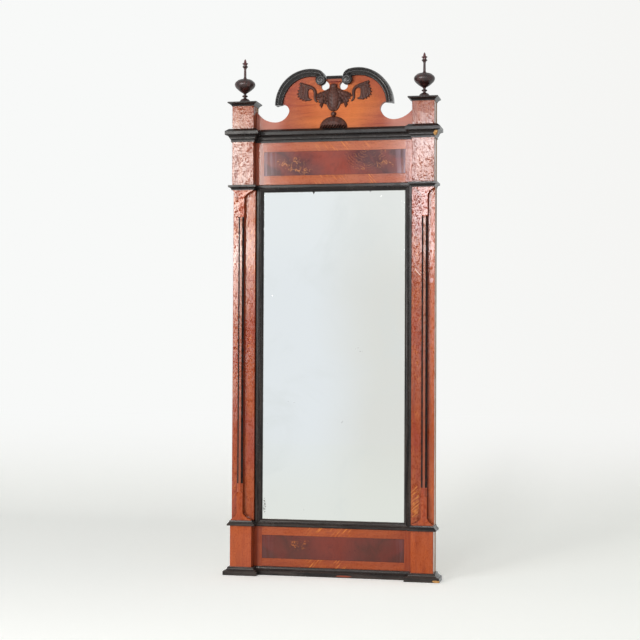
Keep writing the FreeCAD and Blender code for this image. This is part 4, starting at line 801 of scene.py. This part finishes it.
def carve_leaf(bm, spine, side, height, lobes=0, lobe_depth=0, veins=0, along=72, across=20,
               ridge=0, lean=0.5):
    """A crowned leaf or stem along its spine, with lobes on its edge, veins and a rib."""
    line = smooth_line([(side * x, z, half, share) for x, z, half, share in spine], along)
    rows = []
    for i, (x, z, half, share) in enumerate(line):
        x_next, z_next = line[min(i + 1, along - 1)][:2]
        x_last, z_last = line[max(i - 1, 0)][:2]
        run = math.hypot(x_next - x_last, z_next - z_last) or 1
        out_x, out_z = -(z_next - z_last) / run, (x_next - x_last) / run
        t = i / (along - 1)
        notch = lobe_depth * (1 - math.sin(math.pi * ((t * lobes - lean) % 1)))
        row = []
        for j in range(across + 1):
            v = -1 + 2 * j / across
            phase = (t * lobes - lean * abs(v)) % 1
            reach = v * half * (1 - notch * abs(v) ** 1.5)
            crown = max(0, 1 - abs(v) ** 2.6) ** 0.5
            cut = veins * (1 - math.sin(math.pi * phase)) ** 2 * min(1, abs(v) * 2.2)
            rib = ridge * math.exp(-(v * 6) ** 2)
            lift = height * share * (crown * (1 - cut) + rib)
            row.append(bm.verts.new(place_on_board(x + out_x * reach, z + out_z * reach, lift)))
        rows.append(row)
    skin(bm, rows)
    loop = [row[0] for row in rows] + rows[-1][1:] + [row[-1] for row in reversed(rows[:-1])]
    sink(bm, loop + list(reversed(rows[0][:-1])))


def carve_relief(bm, outline, height, edge, mark, step=0.8):
    """A low mass with the given closed outline. It rises from its rim over the edge width, and
    mark(x, z) scales its height from place to place."""
    rim = np.array(smooth_line(outline + outline[:1], len(outline) * 8))
    first, second = rim[:-1], rim[1:]
    run = second - first
    run_2 = np.maximum((run ** 2).sum(axis=1), 1e-9)
    low, high = rim.min(axis=0) - step, rim.max(axis=0) + step
    columns, rows = ((high - low) / step).astype(int) + 1
    made = {}
    for i in range(columns + 1):
        for j in range(rows + 1):
            spot = low + np.array((i, j)) * step
            along = np.clip(((spot - first) * run).sum(axis=1) / run_2, 0, 1)
            nearest = first + run * along[:, None]
            away = ((nearest - spot) ** 2).sum(axis=1)
            best = int(away.argmin())
            distance = math.sqrt(away[best])
            crossing = (first[:, 1] > spot[1]) != (second[:, 1] > spot[1])
            cut = first[crossing, 0] + (spot[1] - first[crossing, 1]) * run[crossing, 0] / run[crossing, 1]
            inside = (cut > spot[0]).sum() % 2 == 1
            if not inside and distance > step * 0.75:
                continue
            if not inside:
                spot, distance = nearest[best], 0
            share = min(1, distance / edge)
            lift = height * math.sqrt(max(0, 1 - (1 - share) ** 2)) * mark(*spot)
            made[i, j] = bm.verts.new(place_on_board(*spot, lift - RIM_SUNK))
    for i, j in made:
        corners = [(i, j), (i + 1, j), (i + 1, j + 1), (i, j + 1)]
        if all(corner in made for corner in corners):
            bm.faces.new([made[corner] for corner in corners])


def turn_dome(bm, middle, radii, lift_at, rings, steps, side=1, spread=1):
    """A dome of rings about its middle. lift_at(share, turn) is its height, from the share of the
    way out and the turn about the middle. Returns its rim."""
    rows = []
    for ring in range(1, rings + 1):
        share = ring / rings
        reach = min(1, share * spread)
        row = []
        for step in range(steps):
            turn = 2 * math.pi * step / steps
            x = side * (middle[0] + radii[0] * reach * math.cos(turn))
            z = middle[1] + radii[1] * reach * math.sin(turn)
            row.append(bm.verts.new(place_on_board(x, z, lift_at(share, turn))))
        rows.append(row + row[:1])
    tip = bm.verts.new(place_on_board(side * middle[0], middle[1], lift_at(0, 0)))
    for a, b in zip(rows[0], rows[0][1:]):
        bm.faces.new((tip, a, b))
    skin(bm, rows)
    return rows[-1]


def new_object(bm, name, material):
    """An object with smooth faces out of what bm holds."""
    mesh = bpy.data.meshes.new(name)
    bm.to_mesh(mesh)
    bm.free()
    mesh.materials.append(material)
    for face in mesh.polygons:
        face.use_smooth = True
    made = bpy.data.objects.new(name, mesh)
    bpy.context.scene.collection.objects.link(made)
    return made


def add_piece(bm, name, finish, slot, *nodes):
    """A piece that rides the frame and stands in for the nodes."""
    bmesh.ops.recalc_face_normals(bm, faces=bm.faces)
    piece = new_object(bm, name, finish.material)
    piece.data.set_sharp_from_angle(angle=math.radians(50))
    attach(piece, "frame")
    if nodes:
        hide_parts(*nodes)


def leaf_share(x, start):
    """0 up to where the leaf starts across, 1 from 8 mm past it."""
    return min(1, max(0, (abs(x) - start) / 8))


def fold_urn(x, z):
    """Leaf folds that fan out from the neck of the urn, and ribs down its body."""
    neck = 1698
    turn = math.atan2(abs(x), neck - z)
    fan = 0.8 + 0.2 * math.cos(turn * 15 + math.hypot(x, z - neck) * 0.1)
    rib = 0.86 + 0.14 * math.cos(x * 0.62)
    leafy = leaf_share(x, 14)
    return rib * (1 - leafy) + fan * leafy


def fold_spray(x, z):
    """Folds that run down the broad hanging leaf. The stem stays round."""
    leaf_x, leaf_z, fold_run = 106, 1694, 11
    bent = abs(x) - 0.005 * (z - leaf_z) ** 2 - leaf_x
    leafy = leaf_share(x, 88)
    return 0.8 * (1 - leafy) + (0.87 + 0.13 * math.cos(bent * 2 * math.pi / fold_run)) * leafy


def urn_carving():
    """The urn under the bar: a leafy body, a collar and broad drooping leaves on each side."""
    bm = bmesh.new()
    other_half = [(-x, z) for x, z in reversed(URN_OUTLINE[:-1])]
    carve_relief(bm, URN_OUTLINE + other_half, 6.2, 3.2, fold_urn)
    for side in (1, -1):
        for spine, cut in URN_LEAVES:
            carve_leaf(bm, spine, side, **cut)
    for spine, cut in URN_BODY:
        carve_leaf(bm, spine, 1, **cut)
    bmesh.ops.translate(bm, verts=bm.verts, vec=(-SET_LEFT * MM, 0, 0))
    add_piece(bm, "urn_carving", CARVED, "dark_carving", "carved_urn")


def bead_lift(share, _):
    """A low dome with a dent in its top, the same all round."""
    return 12.6 * (max(0, 1 - share ** 2.4) ** 0.5 - 0.12 * math.exp(-(share * 3.2) ** 2))


def foot_carving():
    """The domed foot on the cornice, with a bead above and gadroons along its edge."""
    bm = bmesh.new()
    foot_z, half, rise, height = 1560.2, 49.6, 41.2, 13.4
    gadroon_top, gadroon_run = 11.2, 9.6
    rings, steps = 26, 150
    rows = []
    for ring in range(rings + 1):
        share = ring / rings
        row = []
        for step in range(steps + 1):
            turn = math.pi * step / steps
            x = half * share * math.cos(turn)
            z = foot_z + rise * share * math.sin(turn)
            crown = max(0, 1 - share ** 3) ** 0.5
            flute = 0.5 + 0.5 * math.cos(turn * 22)
            ringed = 0.1 * math.exp(-((share - 0.55) * 14) ** 2)
            low = max(0, 1 - (z - foot_z + 0.3) / (gadroon_top + 0.3))
            slant = x - (z - foot_z + 0.2) * 0.8
            slot = (0.5 + 0.5 * math.sin(slant * 2 * math.pi / gadroon_run)) ** 2
            lift = height * crown * (0.93 - 0.08 * flute * min(1, share * 1.6) + ringed)
            lift *= 1 - 0.95 * slot * min(1, low * 2.6)
            row.append(bm.verts.new(place_on_board(x, z, lift)))
        rows.append(row)
    skin(bm, rows)
    sink(bm, rows[-1])
    bmesh.ops.remove_doubles(bm, verts=bm.verts, dist=1e-6)
    sink(bm, turn_dome(bm, (0, 1608.9), (9.4, 9.3), bead_lift, 10, 36))
    bmesh.ops.translate(bm, verts=bm.verts, vec=(-SET_LEFT * MM, 0, 0))
    add_piece(bm, "foot_carving", CARVED, "dark_carving", "carved_foot")


def spray_carving(side, side_name):
    """A stem that rises beside the urn, turns over and ends in a broad hanging leaf."""
    bm = bmesh.new()
    carve_relief(bm, [(side * x, z) for x, z in SPRAY_OUTLINE], 6.4, 2.2, fold_spray)
    for spine, cut in SPRAY_LEAVES:
        carve_leaf(bm, spine, side, **cut)
    add_piece(bm, "spray_carving_" + side_name, CARVED, "dark_carving", "carved_spray_" + side_name)


# Arched mouldings with their rolled ends, in millimetres and degrees
ARCH_MIDDLE, ARCH_RADIUS, ARCH_SWEEP = (84.56, 1643.12), 124.6, 104
ARCH_WIDTH = 26
CURL_RADIUS, CURL_SWEEP, CURL_STEPS = 30, 100, 60
BOSS_MIDDLE, BOSS_RADIUS, BOSS_SIDE, BOSS_DOME, BOSS_EYE = (46.5, 1728), 18.4, 14.5, 6.5, 1
# The moulding laps over the board's edge to its back, and this far in there
HOOD = BOARD_FACE - BOARD_BACK
HOOD_LAP = 6
# Across the moulding from its outer edge in: share of the width, depth in front of the board
ARCH_SECTION = [
    (0, HOOD), (0, 0), (0, 12), (0.01, 17.4), (0.04, 19.2), (0.11, 19.5), (0.16, 18.9),
    (0.19, 17.4), (0.22, 16.2), (0.26, 15.9), (0.3, 16.5), (0.34, 17.8), (0.4, 19.1), (0.46, 19.4),
    (0.54, 18.4), (0.62, 16.2), (0.7, 13.6), (0.78, 11.8), (0.83, 11.2), (0.86, 9), (0.9, 9),
    (0.93, 8.2), (0.98, 7), (1, 4), (1, -RIM_SUNK)]


def boss_lift(share, turn):
    """A dome with a spiral groove that runs in to its eye. Its rim is sunk in the board."""
    if share == 1:
        return -RIM_SUNK
    spiral = (share * 2.1 - turn / (2 * math.pi) + 0.22) % 1
    groove = 0.9 * math.exp(-(min(spiral, 1 - spiral) * 7) ** 2)
    groove *= min(1, share * 3) * min(1, (1 - share) * 8)
    eye = BOSS_EYE * math.exp(-(share * 3) ** 2)
    return BOSS_SIDE + BOSS_DOME * math.sqrt(1 - share ** 4) - groove + eye


def arch_carving(side, side_name):
    """The moulding sweeps up over the board's edge, curls in and rolls into a domed boss. Up to
    half a turn it hoods the board's edge."""
    bm = bmesh.new()
    reach = ARCH_RADIUS - CURL_RADIUS
    turned = math.radians(ARCH_SWEEP)
    curl = (ARCH_MIDDLE[0] + reach * math.cos(turned), ARCH_MIDDLE[1] + reach * math.sin(turned))
    stops = [(ARCH_MIDDLE, ARCH_RADIUS, angle, 0) for angle in range(ARCH_SWEEP + 1)]
    stops += [(curl, CURL_RADIUS, ARCH_SWEEP + CURL_SWEEP * (k + 1) / CURL_STEPS, k / CURL_STEPS)
              for k in range(CURL_STEPS)]
    rows = []
    for middle, radius, angle, rolled in stops:
        turn = math.radians(angle)
        width = ARCH_WIDTH * (1 - 0.25 * rolled)
        back = HOOD if turn < math.pi else 0
        section = [(HOOD_LAP, back)] + [(width * share, back if depth == HOOD else depth)
                                        for share, depth in ARCH_SECTION]
        rows.append([bm.verts.new(place_on_board(side * (middle[0] + (radius - inset) * math.cos(turn)),
                                                 middle[1] + (radius - inset) * math.sin(turn), depth))
                     for inset, depth in section])
    skin(bm, rows)
    foot = rows[0]
    bm.faces.new(foot[1:])
    corner = bm.verts.new((foot[0].co.x, (BOARD_FACE + RIM_SUNK) * MM, foot[0].co.z))
    bm.faces.new((foot[0], foot[1], corner))
    turn_dome(bm, BOSS_MIDDLE, (BOSS_RADIUS, BOSS_RADIUS), boss_lift, 26, 72, side, 1.02)
    add_piece(bm, "arch_carving_" + side_name, BLACK_ARCH, "ebonised", "crest_arch_" + side_name)


# Small dark sprigs that point down from the top moulding on to the glass: across, half width, drop
SPRIGS = [(-72.3, 4.6, 9.5), (128.5, 3.2, 5)]
SPRIG_TOP, SPRIG_FRONT, SPRIG_BACK = 1339.4, -14.1, -13


def glazing_sprigs():
    bm = bmesh.new()
    for across, half, drop in SPRIGS:
        corners = [(-1, 0), (1, 0), (0.3, 0.7), (0, 1), (-0.35, 0.6)]
        front, back = ([bm.verts.new(((across + half * wide) * MM, y * MM, (SPRIG_TOP - drop * down) * MM))
                        for wide, down in corners] for y in (SPRIG_FRONT, SPRIG_BACK))
        bm.faces.new(front)
        bm.faces.new(list(reversed(back)))
        skin(bm, [front + front[:1], back + back[:1]])
    add_piece(bm, "glazing_sprigs", BLACK_UP, "ebonised")


arch_carving(-1, "left")
arch_carving(1, "right")
glazing_sprigs()
urn_carving()
foot_carving()
spray_carving(-1, "left")
spray_carving(1, "right")


# Studio
PALE = tone(240, 241, 238)


def mix_shaders(share, first, second):
    return node("ShaderNodeMixShader", i0=share, i1=first, i2=second)


def glow(tree, kind, colour, strength=1):
    return node(kind, None, 0, tree, Color=colour, Strength=strength)


def backdrop_paper():
    """A lit floor that turns into an even wall, plain in the glass and clear from behind."""
    paper = bpy.data.materials.new("backdrop_paper")
    tree = empty_tree(paper)
    x, _, z = parts(node("ShaderNodeTexCoord", None, "Object", tree))
    side = ease(x, -1.2, 1.4)
    wall = glow(tree, "ShaderNodeEmission", blend(side, tone(248, 249, 248), tone(245, 245, 243)))
    lifted = glow(tree, "ShaderNodeEmission", blend(side, tone(148, 149, 147), tone(170, 171, 167)))
    matt = node("ShaderNodeBsdfDiffuse", None, 0, tree, Color=PALE)
    shown = mix_shaders(ease(z, 0.02, 0.45), node("ShaderNodeAddShader", i0=matt, i1=lifted), wall)
    path = lay(tree, "ShaderNodeLightPath").outputs
    by_camera = mix_shaders(Value(path["Is Camera Ray"]), matt, shown)
    in_glass = glow(tree, "ShaderNodeEmission", tone(242, 244, 243))
    by_glass = mix_shaders(Value(path["Is Glossy Ray"]), by_camera, in_glass)
    behind = node("ShaderNodeNewGeometry", None, "Backfacing", tree)
    clear = node("ShaderNodeBsdfTransparent", None, 0, tree)
    lay(tree, "ShaderNodeOutputMaterial", Surface=mix_shaders(behind, by_glass, clear))
    return paper


def curved_backdrop():
    """A pale floor that sweeps up behind the mirror, open when it is seen from behind. In metres."""
    bm = bmesh.new()
    half, bend_start, bend, top, steps = 7, 1.4, 1.2, 6, 16
    turns = [math.pi / 2 * step / steps for step in range(steps + 1)]
    profile = [(bend_start + bend * math.sin(turn), bend * (1 - math.cos(turn))) for turn in turns]
    profile = [(-half, 0)] + profile + [(bend_start + bend, top)]
    left, right = ([bm.verts.new((x, y, z)) for y, z in profile] for x in (-half, half))
    skin(bm, [right, left])
    new_object(bm, "backdrop", backdrop_paper())


WARM_DAY = (1, 0.98, 0.93)
WHITE = (1, 1, 1)
# Name, place, aim, width, height, power, colour
LIGHTS = [
    ("window_key", (-3, -4.3, 1.3), (-0.1, 0, 0.8), 1.6, 1.8, 84, WHITE),
    ("right_fill", (2.5, -4.4, 1.2), (0.2, 0, 0.8), 1, 1.6, 15, WHITE),
    ("window_left", (-1.9, -4.98, 1.93), (-0.32, 0, 1.41), 0.66, 1.03, 53, WARM_DAY),
    ("window_left_middle", (-1.9, -4.98, 1.3), (-0.32, 0, 1.05), 0.6, 0.5, 8, WARM_DAY),
    ("window_left_low", (-1.93, -4.98, 0.9), (-0.33, 0, 0.8), 0.46, 1.2, 18, WHITE),
    ("window_right", (-0.14, -4.98, 1.88), (0.32, 0, 1.39), 0.66, 1.02, 52, (1, 0.98, 1)),
    ("window_right_low", (-0.14, -4.98, 1.1), (0.32, 0, 0.95), 0.66, 1.1, 4, WHITE),
    ("back_fill", (0.4, 3.6, 3), (0, 0, 0.9), 2, 2, 70, WHITE)]


def softboxes():
    for name, place, aim, width, height, power, colour in LIGHTS:
        light = bpy.data.lights.new(name, "AREA")
        light.shape = "RECTANGLE"
        light.size, light.size_y = width, height
        light.energy = power
        light.color = colour
        lamp = bpy.data.objects.new(name, light)
        bpy.context.scene.collection.objects.link(lamp)
        lamp.location = place
        lamp.rotation_euler = (Vector(aim) - Vector(place)).to_track_quat("-Z", "Y").to_euler()


def pale_room():
    """A soft sky that lights the mirror. Seen straight or in the glass, it is an even pale grey."""
    world = bpy.data.worlds.new("pale_room")
    bpy.context.scene.world = world
    tree = empty_tree(world)
    path = lay(tree, "ShaderNodeLightPath").outputs
    rays = [Value(path[f"Is {kind} Ray"]) for kind in ("Camera", "Glossy", "Transmission")]
    lit = glow(tree, "ShaderNodeBackground", (0.98, 0.99, 1, 1), 0.27)
    shown = glow(tree, "ShaderNodeBackground", tone(242, 244, 244))
    lay(tree, "ShaderNodeOutputWorld", Surface=mix_shaders(reduce(most, rays), lit, shown))


def photo_camera():
    """The viewpoint of the photograph: 5 m away, to the right, a little below half the height."""
    data = bpy.data.cameras.new("camera")
    data.sensor_width = 36
    data.lens = 81.88
    data.clip_end = 60
    camera = bpy.data.objects.new("camera", data)
    bpy.context.scene.collection.objects.link(camera)
    yaw, pitch, roll = (math.radians(angle) for angle in (12.046, 1.213, 0.271))
    upright = Matrix.Rotation(yaw, 4, "Z") @ Matrix.Rotation(math.pi / 2 + pitch, 4, "X")
    camera.matrix_world = (Matrix.Translation((1.0113, -4.9763, 0.7828)) @ upright
                           @ Matrix.Rotation(roll, 4, "Z"))
    bpy.context.scene.camera = camera


curved_backdrop()
pale_room()
softboxes()
photo_camera()
bpy.context.scene.view_settings.view_transform = "Standard"
